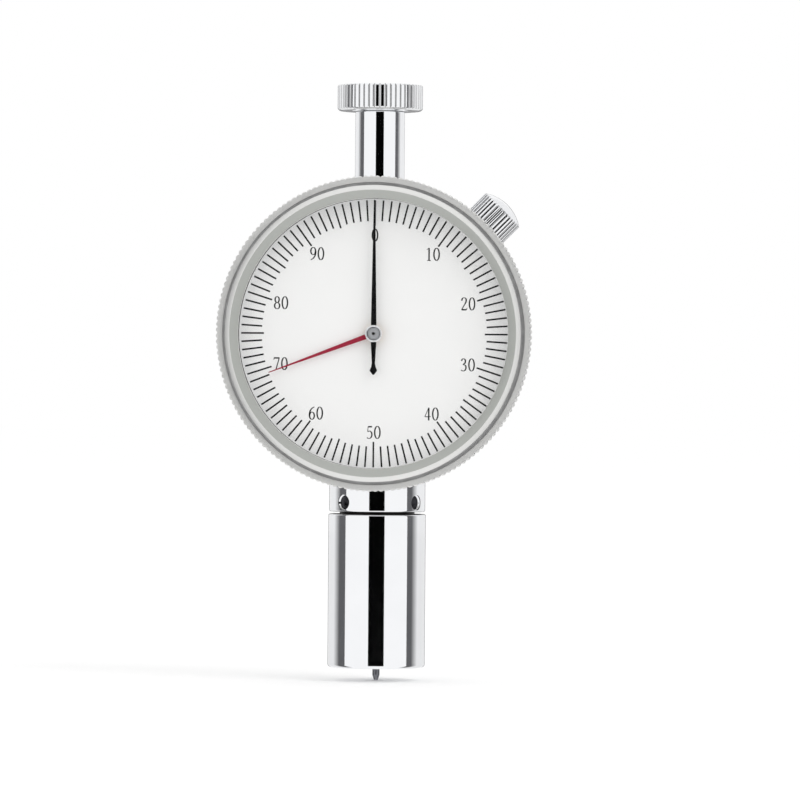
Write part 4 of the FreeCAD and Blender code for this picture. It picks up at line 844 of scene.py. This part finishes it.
class TESTER_OT_top_knob(Operator):
    """Round top knob with straight knurling"""

    bl_idname = "tester.top_knob"
    bl_label = "Top knob"

    def execute(self, context):
        sizes = context.scene.tester_sizes
        outer = sizes.top_knob_radius
        bore = mm(2.01)
        bore_end = KNOB_LOW + mm(3.65)
        seat, step = mm(5.6), mm(0.12)
        low_bevel, high_bevel = mm(0.4), mm(0.22)
        profile = [
            (0.0, bore_end, 0.0),
            (bore, bore_end, 0.0),
            (bore, KNOB_LOW, 0.0),
            (seat, KNOB_LOW, mm(0.1)),
            (seat + mm(0.2), KNOB_LOW + step, mm(0.1)),
            (outer - low_bevel, KNOB_LOW + step, mm(0.15)),
            (outer, KNOB_LOW + mm(0.5), mm(0.15)),
            (outer, KNOB_HIGH - high_bevel, mm(0.08)),
            (outer - high_bevel, KNOB_HIGH, mm(0.08)),
            (0.0, KNOB_HIGH, 0.0),
        ]
        ridges = sizes.top_knob_ridges
        shape = lathe(profile, ridges * 12, UPRIGHT, repeats=ridges)
        # The knurl's grooves get a darker plate, painted shade in the grooves
        knurl(shape, ridges, outer, sizes.top_knob_groove, 7, 0.88, UPRIGHT)
        hand_in(context, "knurled_top_knob", shape, "top_knob", more=(dull_plate,), crease=40.0)
        return {"FINISHED"}


# Side knob


class TESTER_OT_side_knob(Operator):
    """Knurled side knob with a low dome, and the bush it turns in"""

    bl_idname = "tester.side_knob"
    bl_label = "Side knob and bush"

    def execute(self, context):
        sizes = context.scene.tester_sizes
        outer = sizes.side_knob_radius
        base, end = mm(28.3), mm(34.1)
        recess, bore = mm(3.5), mm(1.01)
        flange = mm(0.7)
        floor = mm(1.55)
        dome_r, dome_base, dome_rise = outer - mm(0.4), end - mm(0.1), mm(1.2)
        profile = [
            (0.0, end - floor, 0.0),
            (bore, end - floor, 0.0),
            (bore, base + flange, 0.0),
            (recess, base + flange, 0.0),
            (recess, base, mm(0.08)),
            (outer - mm(0.5), base, mm(0.2)),
            (outer, base + mm(0.45), mm(0.2)),
            (outer, end - mm(0.4), mm(0.06)),
            (dome_r, dome_base, mm(0.05)),
        ] + arc(dome_r, dome_base, dome_rise)
        ridges = sizes.side_knob_ridges
        shape = lathe(profile, ridges * 12, ON_SIDE_KNOB_AXIS, repeats=ridges)
        # The knurl's grooves get near-black steel, painted shade in the grooves
        knurl(shape, ridges, outer, sizes.side_knob_groove, 3, 0.7, ON_SIDE_KNOB_AXIS)
        hand_in(context, "knurled_side_knob", shape, "reset_knob", more=(bare_turned_steel,), crease=40.0)
        self.bush(context)
        return {"FINISHED"}

    def bush(self, context):
        """Flanged bush that the side knob's shaft turns in."""
        low, seat, high = mm(22.7), mm(28.1), mm(28.8)
        bore, body, flange = mm(1.03), mm(2.4), mm(3.3)
        profile = [
            (bore, low, 0.0),
            (body, low, mm(0.1)),
            (body, seat, 0.0),
            (flange, seat, mm(0.08)),
            (flange, high, mm(0.08)),
            (bore, high, 0.0),
        ]
        hand_in(context, "side_knob_bush", lathe(profile, 72, ON_SIDE_KNOB_AXIS, ring=True), "knob_bush")


# Case


class TESTER_OT_case(Operator):
    """Turned case with its bosses, the back cover and its screws"""

    bl_idname = "tester.case"
    bl_label = "Case and back cover"

    def execute(self, context):
        drum_r, seat_r, pad_r = mm(27.5), mm(26.95), mm(4.2)
        collar_boss_r, stem_boss_r = mm(8.9), mm(6.3)
        across, upward = Vector((0.0, 1.0, 0.0)), Vector((0.0, 0.0, 1.0))
        drum = (DIAL_CENTRE, across, drum_r)
        seat = (DIAL_CENTRE, across, seat_r)
        bosses = [(Vector(), upward, radius) for radius in (collar_boss_r, stem_boss_r, SPIGOT_R)]
        pad = (ON_SIDE_KNOB_AXIS.translation, ON_SIDE_KNOB_AXIS.to_3x3() @ upward, pad_r)
        case = hand_in(context, "case_drum", smooth_copy("case"), "case", crease=25.0)
        true_walls(case, [drum, seat, pad] + bosses)
        cover = hand_in(context, "cover_plate", smooth_copy("back_cover"), "back_cover", crease=25.0)
        true_walls(cover, [drum])
        hand_in(context, "cover_screws", smooth_copy("back_cover_screws"), "back_cover_screws", crease=25.0)
        return {"FINISHED"}


# Bezel, crystal and dial


class TESTER_OT_bezel(Operator):
    """Turned bezel: knurled rim, flat band, groove, round bead and the slope down to the crystal"""

    bl_idname = "tester.bezel"
    bl_label = "Bezel"

    def execute(self, context):
        sizes = context.scene.tester_sizes
        outer = sizes.bezel_radius
        seat = sizes.crystal_radius + mm(0.03)
        skirt, crest, groove = mm(27.0), mm(27.25), mm(28.15)
        band = BEZEL_REAR - mm(4.6)
        shoulder = DIAL_REAR + mm(0.15)
        rear_edge = [
            (skirt, BEZEL_REAR, mm(0.1)),
            (outer - mm(0.75), BEZEL_REAR, mm(0.15)),
            (outer - mm(0.45), BEZEL_REAR - mm(0.4), mm(0.1)),
            (outer, BEZEL_REAR - mm(0.6), mm(0.12)),
        ]
        flat_band = [
            (outer, band + mm(0.3), mm(0.1)),
            (outer - mm(0.2), band - mm(0.02), mm(0.08)),
            (groove + mm(0.6), band + mm(0.06), mm(0.08)),
            (groove + mm(0.48), band + mm(0.26), mm(0.06)),
        ]
        bead = [
            (groove, band + mm(0.3), mm(0.06)),
            (groove - mm(0.04), BEZEL_FRONT + mm(0.6), mm(0.08)),
            (crest, BEZEL_FRONT, mm(0.07)),
        ]
        slope = [
            (sizes.lip_radius + mm(0.1), CRYSTAL_FRONT - mm(0.42), mm(0.06)),
            (sizes.lip_radius, CRYSTAL_FRONT, 0.0),
        ]
        inside = [(seat, CRYSTAL_FRONT, 0.0), (seat, shoulder, 0.0), (skirt, shoulder, 0.0)]
        profile = rear_edge + flat_band + bead + slope + inside
        ridges = sizes.bezel_ridges
        shape = lathe(profile, ridges * 8, ON_DIAL_AXIS, ring=True, repeats=ridges)
        # The knurl's valleys get a darker plate, painted shade in the valleys
        knurl(shape, ridges, outer, sizes.bezel_groove, 2, 0.8, ON_DIAL_AXIS)

        def in_groove(radius, along):
            return groove - mm(0.03) < radius < groove + mm(0.55) and along < band + mm(0.9)

        def on_slope(radius, along):
            return sizes.lip_radius + mm(0.05) < radius < crest - mm(0.05) and along < CRYSTAL_FRONT

        # The groove gets a darker plate and the slope a darker nickel, both painted shade
        give(shape, ON_DIAL_AXIS, 1, in_groove)
        give(shape, ON_DIAL_AXIS, 2, on_slope)
        hand_in(context, "knurled_bezel", shape, "bezel", more=(dull_plate, blasted_nickel), crease=40.0)
        return {"FINISHED"}


class TESTER_OT_crystal(Operator):
    """Crystal, its gasket and the ring that holds it off the dial"""

    bl_idname = "tester.crystal"
    bl_label = "Crystal, gasket and spacer"

    def execute(self, context):
        sizes = context.scene.tester_sizes
        edge = sizes.crystal_radius
        gasket_r = sizes.lip_radius - mm(0.02)
        spacer_r = edge - mm(0.5)
        gasket_rear = CRYSTAL_REAR + mm(0.3)
        glass = [
            (0.0, CRYSTAL_FRONT, 0.0),
            (edge, CRYSTAL_FRONT, mm(0.1)),
            (edge, CRYSTAL_REAR, mm(0.1)),
            (0.0, CRYSTAL_REAR, 0.0),
        ]
        gasket = [
            (gasket_r, CRYSTAL_REAR, mm(0.1)),
            (edge, CRYSTAL_REAR, 0.0),
            (edge, gasket_rear, 0.0),
            (gasket_r, gasket_rear, mm(0.1)),
        ]
        spacer = [
            (spacer_r, gasket_rear, mm(0.1)),
            (edge, gasket_rear, 0.0),
            (edge, DIAL_FRONT, 0.0),
            (spacer_r, DIAL_FRONT, 0.0),
        ]
        pane = hand_in(context, "glass", lathe(glass, 192, ON_DIAL_AXIS), "crystal")
        # Clear glass takes no light from the dial
        pane.visible_shadow = False
        pane.visible_diffuse = False
        hand_in(context, "rubber_gasket", lathe(gasket, 192, ON_DIAL_AXIS, ring=True), "crystal_gasket")
        hand_in(context, "spacer", lathe(spacer, 192, ON_DIAL_AXIS, ring=True), "dial_spacer_ring")
        return {"FINISHED"}


# The strokes of each figure in a box 1 high. A ring is (centre, radii), a curve runs smoothly through
# its points and a line joins them straight. The last value is the stroke's width, and None follows the
# pen's direction.
THIN, THICK = 0.045, 0.108
FIGURES = {
    "0": [("ring", ((0.25, 0.5), (0.2, 0.47)), None)],
    "1": [
        ("line", ((0.27, 0.98), (0.27, 0.02)), THICK),
        ("line", ((0.1, 0.85), (0.27, 0.97)), THIN),
        ("line", ((0.12, 0.02), (0.42, 0.02)), THIN),
    ],
    "2": [
        (
            "curve",
            ((0.06, 0.74), (0.11, 0.9), (0.24, 0.97), (0.38, 0.88), (0.39, 0.68), (0.3, 0.48)),
            None,
        ),
        ("line", ((0.3, 0.48), (0.06, 0.06)), 0.07),
        ("line", ((0.05, 0.05), (0.42, 0.05)), THICK),
        ("line", ((0.42, 0.05), (0.47, 0.2)), THIN),
    ],
    "3": [
        (
            "curve",
            ((0.08, 0.8), (0.13, 0.92), (0.24, 0.97), (0.36, 0.88), (0.35, 0.66), (0.19, 0.53)),
            None,
        ),
        (
            "curve",
            ((0.19, 0.53), (0.37, 0.46), (0.42, 0.27), (0.34, 0.09), (0.19, 0.03), (0.05, 0.11)),
            None,
        ),
    ],
    "4": [
        ("line", ((0.33, 0.97), (0.04, 0.29)), THIN),
        ("line", ((0.04, 0.29), (0.48, 0.29)), 0.06),
        ("line", ((0.34, 0.98), (0.34, 0.01)), THICK),
    ],
    "5": [
        ("line", ((0.14, 0.93), (0.43, 0.93)), THICK),
        ("line", ((0.14, 0.95), (0.1, 0.56)), THIN),
        (
            "curve",
            ((0.1, 0.56), (0.27, 0.6), (0.4, 0.47), (0.42, 0.27), (0.34, 0.09), (0.19, 0.03), (0.05, 0.1)),
            None,
        ),
    ],
    "6": [
        ("curve", ((0.43, 0.97), (0.27, 0.88), (0.12, 0.68), (0.06, 0.42), (0.08, 0.22)), None),
        ("ring", ((0.25, 0.3), (0.18, 0.28)), None),
    ],
    "7": [
        ("line", ((0.05, 0.93), (0.46, 0.93)), THICK),
        ("line", ((0.44, 0.92), (0.19, 0.01)), 0.075),
        ("line", ((0.05, 0.95), (0.03, 0.78)), THIN),
    ],
    "8": [
        ("ring", ((0.25, 0.74), (0.155, 0.225)), None),
        ("ring", ((0.25, 0.27), (0.19, 0.24)), None),
    ],
    "9": [
        ("curve", ((0.07, 0.03), (0.23, 0.12), (0.38, 0.32), (0.44, 0.58), (0.42, 0.78)), None),
        ("ring", ((0.25, 0.7), (0.18, 0.28)), None),
    ],
}
PRINT = mm(0.02)


def stroke_path(kind, points):
    """The middle line of a stroke."""
    if kind == "ring":
        (x, y), (across, up) = points
        steps = 28
        turns = [2 * math.pi * number / steps for number in range(steps + 1)]
        return [Vector((x + across * math.sin(turn), y + up * math.cos(turn))) for turn in turns]
    knots = [Vector(point) for point in points]
    if kind == "line":
        return knots
    path = [knots[0]]
    for index in range(len(knots) - 1):
        start, end = knots[index], knots[index + 1]
        before = knots[max(index - 1, 0)]
        after = knots[min(index + 2, len(knots) - 1)]
        pieces = interpolate_bezier(start, start + (end - before) / 6, end - (after - start) / 6, end, 6)
        path += [Vector(point[:2]) for point in pieces[1:]]
    return path


def draw_stroke(shape, kind, points, weight, place, across, up):
    """Lays a pen stroke on the dial as a thin solid ribbon, thick down and thin sideways, as a broad nib
    draws it."""
    path = stroke_path(kind, points)
    runs = len(path) - 1
    made = bmesh.ops.create_grid(shape, x_segments=runs, y_segments=1, size=0.5)
    for vert in made["verts"]:
        number = round((vert.co.x + 0.5) * runs)
        side = math.copysign(0.5, vert.co.y)
        before, after = path[max(number - 1, 0)], path[min(number + 1, runs)]
        if kind == "ring" and number in (0, runs):
            before, after = path[-2], path[1]
        along = (after - before).normalized()
        width = weight or THIN + (THICK - THIN) * abs(along.y) ** 1.4
        spot = path[number] + Vector((-along.y, along.x)) * width * side
        vert.co = place + Vector((spot.x * across, 0.0, spot.y * up))
    faces = {face for vert in made["verts"] for face in vert.link_faces}
    lifted = bmesh.ops.extrude_face_region(shape, geom=list(faces))
    raised = [item for item in lifted["geom"] if isinstance(item, bmesh.types.BMVert)]
    bmesh.ops.translate(shape, verts=raised, vec=(0.0, -PRINT, 0.0))


class TESTER_OT_dial(Operator):
    """Enamelled dial with its printed scale and numbers"""

    bl_idname = "tester.dial"
    bl_label = "Dial and scale"

    def execute(self, context):
        sizes = context.scene.tester_sizes
        hole, edge = mm(1.5), mm(0.05)
        profile = [
            (hole, DIAL_FRONT, edge),
            (sizes.crystal_radius, DIAL_FRONT, edge),
            (sizes.crystal_radius, DIAL_REAR, edge),
            (hole, DIAL_REAR, edge),
        ]
        hand_in(context, "dial_plate", lathe(profile, 192, ON_DIAL_AXIS, ring=True), "dial")
        shape = bmesh.new()
        for mark in range(SCALE_PARTS):
            self.tick(shape, sizes, mark)
        for mark in range(0, SCALE_PARTS, 10):
            self.number(shape, sizes, mark)
        bmesh.ops.remove_doubles(shape, verts=shape.verts, dist=MERGE)
        bmesh.ops.recalc_face_normals(shape, faces=shape.faces)
        hand_in(context, "dial_print", shape, "dial", coat=printing_ink)
        return {"FINISHED"}

    def tick(self, shape, sizes, mark):
        """A mark of the scale, longer at the fives and longest at the tens."""
        long = sizes.ten_tick if mark % 10 == 0 else sizes.five_tick if mark % 5 == 0 else sizes.unit_tick
        turn = Matrix.Translation(DIAL_CENTRE) @ Matrix.Rotation(2 * math.pi * mark / SCALE_PARTS, 4, "Y")
        middle = Matrix.Translation((0.0, DIAL_FRONT - PRINT / 2, sizes.tick_end - long / 2))
        size = Matrix.Diagonal((sizes.tick_width, PRINT, long, 1.0))
        bmesh.ops.create_cube(shape, size=1.0, matrix=turn @ middle @ size)

    def number(self, shape, sizes, mark):
        """Draws a number upright on its circle. A figure is half as wide as the box of its strokes."""
        angle = 2 * math.pi * mark / SCALE_PARTS
        figures = str(mark)
        up, across = sizes.numeral_height, sizes.numeral_box
        first = sizes.numeral_radius * math.sin(angle) - sizes.numeral_pitch * (len(figures) - 1) / 2
        foot = DIAL_CENTRE.z + sizes.numeral_radius * math.cos(angle) - up / 2
        for index, figure in enumerate(figures):
            left = first + index * sizes.numeral_pitch - 0.25 * across
            for kind, points, weight in FIGURES[figure]:
                draw_stroke(shape, kind, points, weight, Vector((left, DIAL_FRONT, foot)), across, up)


# Hands


def blade(outline, front, rear, reading=0.0):
    """A flat hand from its half widths along its length, with softened edges, turned to a reading."""
    shape = bmesh.new()
    right = [shape.verts.new((half, rear, along)) for along, half in outline]
    left = [shape.verts.new((-half, rear, along)) for along, half in reversed(outline)]
    face = shape.faces.new(right + left)
    lifted = bmesh.ops.extrude_face_region(shape, geom=[face])
    raised = [item for item in lifted["geom"] if isinstance(item, bmesh.types.BMVert)]
    bmesh.ops.translate(shape, verts=raised, vec=(0.0, front - rear, 0.0))
    bmesh.ops.recalc_face_normals(shape, faces=shape.faces)
    edges = [edge for edge in shape.edges if edge.verts[0] in raised and edge.verts[1] in raised]
    bmesh.ops.bevel(
        shape,
        geom=edges,
        offset=mm(0.03),
        offset_type="OFFSET",
        segments=2,
        profile=0.5,
        affect="EDGES",
        material=-1,
    )
    turn = Matrix.Rotation(2 * math.pi * reading / SCALE_PARTS, 4, "Y")
    shape.transform(Matrix.Translation(DIAL_CENTRE) @ turn)
    return shape


def eye(inner, outer, front, rear):
    """The round eye of a hand."""
    profile = [(inner, front, 0.0), (outer, front, mm(0.03)), (outer, rear, 0.0), (inner, rear, 0.0)]
    return lathe(profile, 96, ON_DIAL_AXIS, ring=True)


class TESTER_OT_black_hand(Operator):
    """Long black hand with its rhombus tail, and the polished cap on its hub"""

    bl_idname = "tester.black_hand"
    bl_label = "Black hand and cap"

    def execute(self, context):
        sizes = context.scene.tester_sizes
        root, half_root, half_tip = mm(1.2), mm(0.525), mm(0.13)
        rhombus = [(mm(-7.8), mm(0.14)), (mm(-7.0), mm(0.73)), (mm(-6.35), mm(0.44)), (mm(-5.6), mm(0.3))]
        tail = rhombus + [(-sizes.hub_radius, half_root), (-root, half_root)]
        needle = [(root, half_root), (sizes.hub_radius, half_root), (sizes.black_hand, half_tip)]
        hand = eye(mm(1.08), mm(1.55), BLACK_FRONT, BLACK_REAR)
        for outline in (tail, needle):
            hand = combine(context, hand, blade(outline, BLACK_FRONT, BLACK_REAR), "UNION")
        hand_in(context, "black_hand", hand, "main_hand")
        self.cap(context, sizes)
        return {"FINISHED"}

    def cap(self, context, sizes):
        """A polished ring round a turned dome with a small pit in its middle."""
        ring_front = CAP_REAR - mm(0.42)
        dome_r, dome_base = mm(1.18), CAP_REAR - mm(0.2)
        pit_r, pit_floor = mm(0.27), CAP_FRONT + mm(0.14)
        dome = [point for point in arc(dome_r, dome_base, CAP_FRONT - dome_base) if point[0] > 1.1 * pit_r]
        profile = [
            (0.0, CAP_REAR, 0.0),
            (sizes.hub_radius, CAP_REAR, 0.0),
            (sizes.hub_radius, ring_front, mm(0.2)),
            (dome_r + mm(0.07), ring_front, mm(0.16)),
            (dome_r + mm(0.05), dome_base, 0.0),
            (dome_r, dome_base, 0.0),
        ]
        profile += dome
        profile += [(pit_r, CAP_FRONT, mm(0.02)), (pit_r, pit_floor, 0.0), (0.0, pit_floor, 0.0)]
        shape = lathe(profile, 96, ON_DIAL_AXIS)
        give(shape, ON_DIAL_AXIS, 1, lambda radius, along: radius < dome_r + mm(0.04) and along < CAP_REAR)
        # The pit gets near-black steel, painted shade in the pit
        give(shape, ON_DIAL_AXIS, 2, lambda radius, along: radius < pit_r + mm(0.01) and along < CAP_REAR)
        hand_in(context, "hub_cap", shape, "hand_cap", more=(turned_cap_steel, bare_turned_steel))


class TESTER_OT_red_hand(Operator):
    """Red hand that keeps the highest reading"""

    bl_idname = "tester.red_hand"
    bl_label = "Red hand"

    def execute(self, context):
        sizes = context.scene.tester_sizes
        half_root, half_tip = mm(0.475), mm(0.08)
        outline = [(mm(1.47), half_root), (sizes.hub_radius, half_root), (sizes.red_hand, half_tip)]
        needle = blade(outline, RED_FRONT, RED_REAR, PEAK_READING)
        hand = combine(context, eye(mm(1.46), mm(1.55), RED_FRONT, RED_REAR), needle, "UNION")
        hand_in(context, "red_hand", hand, "peak_hand")
        return {"FINISHED"}


# Works


class TESTER_OT_main_spring(Operator):
    """Measuring spring, a smooth copy that stays where it stands; in the tester it shortens between its
    seat on the plunger and the adjuster above
    """

    bl_idname = "tester.main_spring"
    bl_label = "Measuring spring"

    def execute(self, context):
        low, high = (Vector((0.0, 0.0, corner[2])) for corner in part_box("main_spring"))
        end_coil = Vector((0.0, 0.0, mm(0.5)))
        stretch = ("plunger", "housing", low + end_coil, high - end_coil)
        hand_in(context, "measuring_spring", smooth_copy("main_spring"), "main_spring", stretch=stretch)
        return {"FINISHED"}


class TESTER_OT_works(Operator):
    """Finishes for every CAD node that keeps its own shape: plunger, plates, train and hairspring"""

    bl_idname = "tester.works"
    bl_label = "Plunger, plates and train"

    def execute(self, context):
        for node, item in frame["nodes"].items():
            item.data.materials.clear()
            material = finish(MATERIAL_OF_SLOT[SLOT_OF[node]], context.scene.tester_colours)
            item.data.materials.append(material)
        return {"FINISHED"}


# Stage


class TESTER_OT_stage(Operator):
    """Pale floor, soft studio light, the dark cards that polished metal mirrors, and the camera"""

    bl_idname = "tester.stage"
    bl_label = "Floor, light and camera"

    camera_yaw = math.radians(3.9)
    camera_roll = math.radians(0.44)
    camera_distance = 0.98
    camera_height = mm(51.35)
    camera_aside = mm(4.23)
    camera_lens = 229.3
    floor_radius = 8.0
    card_distance = 1.1
    lamp_place = Vector((0.75, -0.55, 0.85))
    lamp_size = 0.7
    lamp_watts = 2.4
    matt = {"Roughness": 1.0, "Specular IOR Level": 0.0}

    def execute(self, context):
        self.world(context)
        self.floor(context)
        self.cards(context)
        self.lamps(context)
        self.camera(context)
        context.scene.view_settings.view_transform = "Standard"
        return {"FINISHED"}

    def toward_camera(self):
        """The level direction from the object to the camera."""
        return Vector((math.sin(self.camera_yaw), -math.cos(self.camera_yaw), 0.0))

    def camera(self, context):
        """A long lens a little to the side, level, and rolled as the photograph is."""
        back = self.toward_camera()
        level = Vector((-back.y, back.x, 0.0))
        place = back * self.camera_distance + level * self.camera_aside
        place.z = self.camera_height
        turn = Matrix((level, Vector((0.0, 0.0, 1.0)), back)).transposed()
        turn = turn @ Matrix.Rotation(self.camera_roll, 3, "Z")
        data = bpy.data.cameras.new("camera")
        data.sensor_width = 36.0
        data.lens = self.camera_lens
        data.clip_start = 0.05
        camera = bpy.data.objects.new("camera", data)
        camera.matrix_world = Matrix.Translation(place) @ turn.to_4x4()
        context.scene.collection.objects.link(camera)
        context.scene.camera = camera

    def world(self, context):
        """Even white surroundings at the strength at which a colour renders as written."""
        world = bpy.data.worlds.new("studio")
        world.use_nodes = True
        tree = world.node_tree
        tree.nodes.clear()
        background = add(tree, "ShaderNodeBackground", inputs={"Color": linear("FFFFFF"), "Strength": 1.0})
        add(tree, "ShaderNodeOutputWorld", links={"Surface": background.outputs["Background"]})
        context.scene.world = world

    def seen_directly(self, tree):
        """1 where a ray comes from the camera, a mirror or glass, and 0 where it lights a surface."""
        path = add(tree, "ShaderNodeLightPath").outputs
        seen = path["Is Camera Ray"]
        for ray in ("Is Glossy Ray", "Is Transmission Ray"):
            either = add(tree, "ShaderNodeMath", {"operation": "MAXIMUM"}, links={0: seen, 1: path[ray]})
            seen = either.outputs["Value"]
        return seen

    def floor(self, context):
        """Matt white paper that carries the object's soft shadow."""
        material, tree, surface = start_material("paper_floor", self.matt)[:3]
        paper = tuple(context.scene.tester_colours.floor)
        vary(tree, surface, self.seen_directly(tree), colours=(paper, linear("FFFFFF")))
        shape = bmesh.new()
        bmesh.ops.create_circle(shape, cap_ends=True, segments=64, radius=self.floor_radius)
        shape.transform(Matrix.Translation((0.0, 0.0, TIP_LOW - mm(0.1))))
        self.put(context, "floor", shape, material).visible_glossy = False

    def put(self, context, name, shape, material):
        """Makes a bmesh a part of the stage, with its material."""
        mesh = bpy.data.meshes.new(name)
        shape.to_mesh(mesh)
        shape.free()
        mesh.materials.append(material)
        item = bpy.data.objects.new(name, mesh)
        context.scene.collection.objects.link(item)
        return item

    def cards(self, context):
        """Upright cards bent round the object, which only polished metal mirrors: a black one behind the
        camera, a grey one at each side, darkest at its front edge, and a grey one behind the object."""
        black = self.dyed_card("black_card", "000000", "080808")
        plain = self.dyed_card("plain_card", "989899", "A2A2A3")
        grey = self.faded_card()
        # First and last angle from the camera's direction, then the lower and the upper edge
        for name, material, first, last, low, high in (
            ("black_card", black, -19.0, 18.0, -0.1, 0.33),
            ("left_card", grey, -79.5, -158.0, -1.45, 1.55),
            ("right_card", grey, 76.5, 158.0, -1.45, 1.55),
            ("back_card", plain, 162.0, 198.0, -0.25, 0.35),
        ):
            shape = bmesh.new()
            made = bmesh.ops.create_grid(shape, x_segments=24, y_segments=1, size=0.5)
            for vert in made["verts"]:
                turn = math.radians(first + (last - first) * (vert.co.x + 0.5))
                place = Matrix.Rotation(turn, 3, "Z") @ self.toward_camera() * self.card_distance
                place.z = low + (high - low) * (vert.co.y + 0.5)
                vert.co = place
            card = self.put(context, name, shape, material)
            card.visible_camera = False
            card.visible_diffuse = False
            card.visible_shadow = False
            card.visible_transmission = False

    def dyed_card(self, name, dark, light):
        """Card with a dye that is a little uneven over 60 mm."""
        material, tree, surface, place = start_material(name, self.matt)
        blotches = {"Scale": 1.0 / mm(60.0), "Detail": 3.0}
        dye = add(tree, "ShaderNodeTexNoise", inputs=blotches, links={"Vector": place})
        vary(tree, surface, dye.outputs["Fac"], colours=(linear(dark), linear(light)))
        return material

    def faded_card(self):
        """Grey card whose grey fades to white away from the camera."""
        material, tree, surface, place = start_material("grey_card", self.matt)
        back = add(tree, "ShaderNodeSeparateXYZ", links={"Vector": place}).outputs["Y"]
        span = {"From Min": 0.1, "From Max": 0.5}
        faded = add(tree, "ShaderNodeMapRange", inputs=span, links={"Value": back})
        vary(tree, surface, faded.outputs["Result"], colours=(linear("666668"), linear("F6F6F6")))
        return material

    def lamps(self, context):
        """One large soft lamp from the upper right."""
        data = bpy.data.lights.new("soft_box", "AREA")
        data.shape = "DISK"
        data.size = self.lamp_size
        data.energy = self.lamp_watts
        lamp = bpy.data.objects.new("soft_box", data)
        aim = (self.lamp_place - DIAL_CENTRE).to_track_quat("Z", "Y").to_matrix().to_4x4()
        lamp.matrix_world = Matrix.Translation(self.lamp_place) @ aim
        lamp.visible_glossy = False
        context.scene.collection.objects.link(lamp)


OPERATORS = (
    TESTER_OT_works,
    TESTER_OT_main_spring,
    TESTER_OT_tube,
    TESTER_OT_indenter,
    TESTER_OT_collar,
    TESTER_OT_stem,
    TESTER_OT_top_knob,
    TESTER_OT_side_knob,
    TESTER_OT_case,
    TESTER_OT_bezel,
    TESTER_OT_crystal,
    TESTER_OT_dial,
    TESTER_OT_black_hand,
    TESTER_OT_red_hand,
    TESTER_OT_stage,
)


class TESTER_PT_panel(Panel):
    """Lists the pieces and the stage"""

    bl_idname = "TESTER_PT_panel"
    bl_label = "Hardness tester"
    bl_space_type = "VIEW_3D"
    bl_region_type = "UI"
    bl_category = "Tester"

    def draw(self, context):
        layout = self.layout
        for operator in OPERATORS:
            layout.operator(operator.bl_idname)
        for group in (context.scene.tester_sizes, context.scene.tester_colours):
            box = layout.box()
            for name in group.__annotations__:
                box.prop(group, name)


CLASSES = (TesterSizes, TesterColours) + OPERATORS + (TESTER_PT_panel,)


def register():
    for item in CLASSES:
        bpy.utils.register_class(item)
    bpy.types.Scene.tester_sizes = PointerProperty(type=TesterSizes)
    bpy.types.Scene.tester_colours = PointerProperty(type=TesterColours)


def unregister():
    del bpy.types.Scene.tester_sizes
    del bpy.types.Scene.tester_colours
    for item in reversed(CLASSES):
        bpy.utils.unregister_class(item)


def main():
    register()
    for operator in OPERATORS:
        group, name = operator.bl_idname.split(".")
        getattr(getattr(bpy.ops, group), name)()


if __name__ == "__main__":
    main()
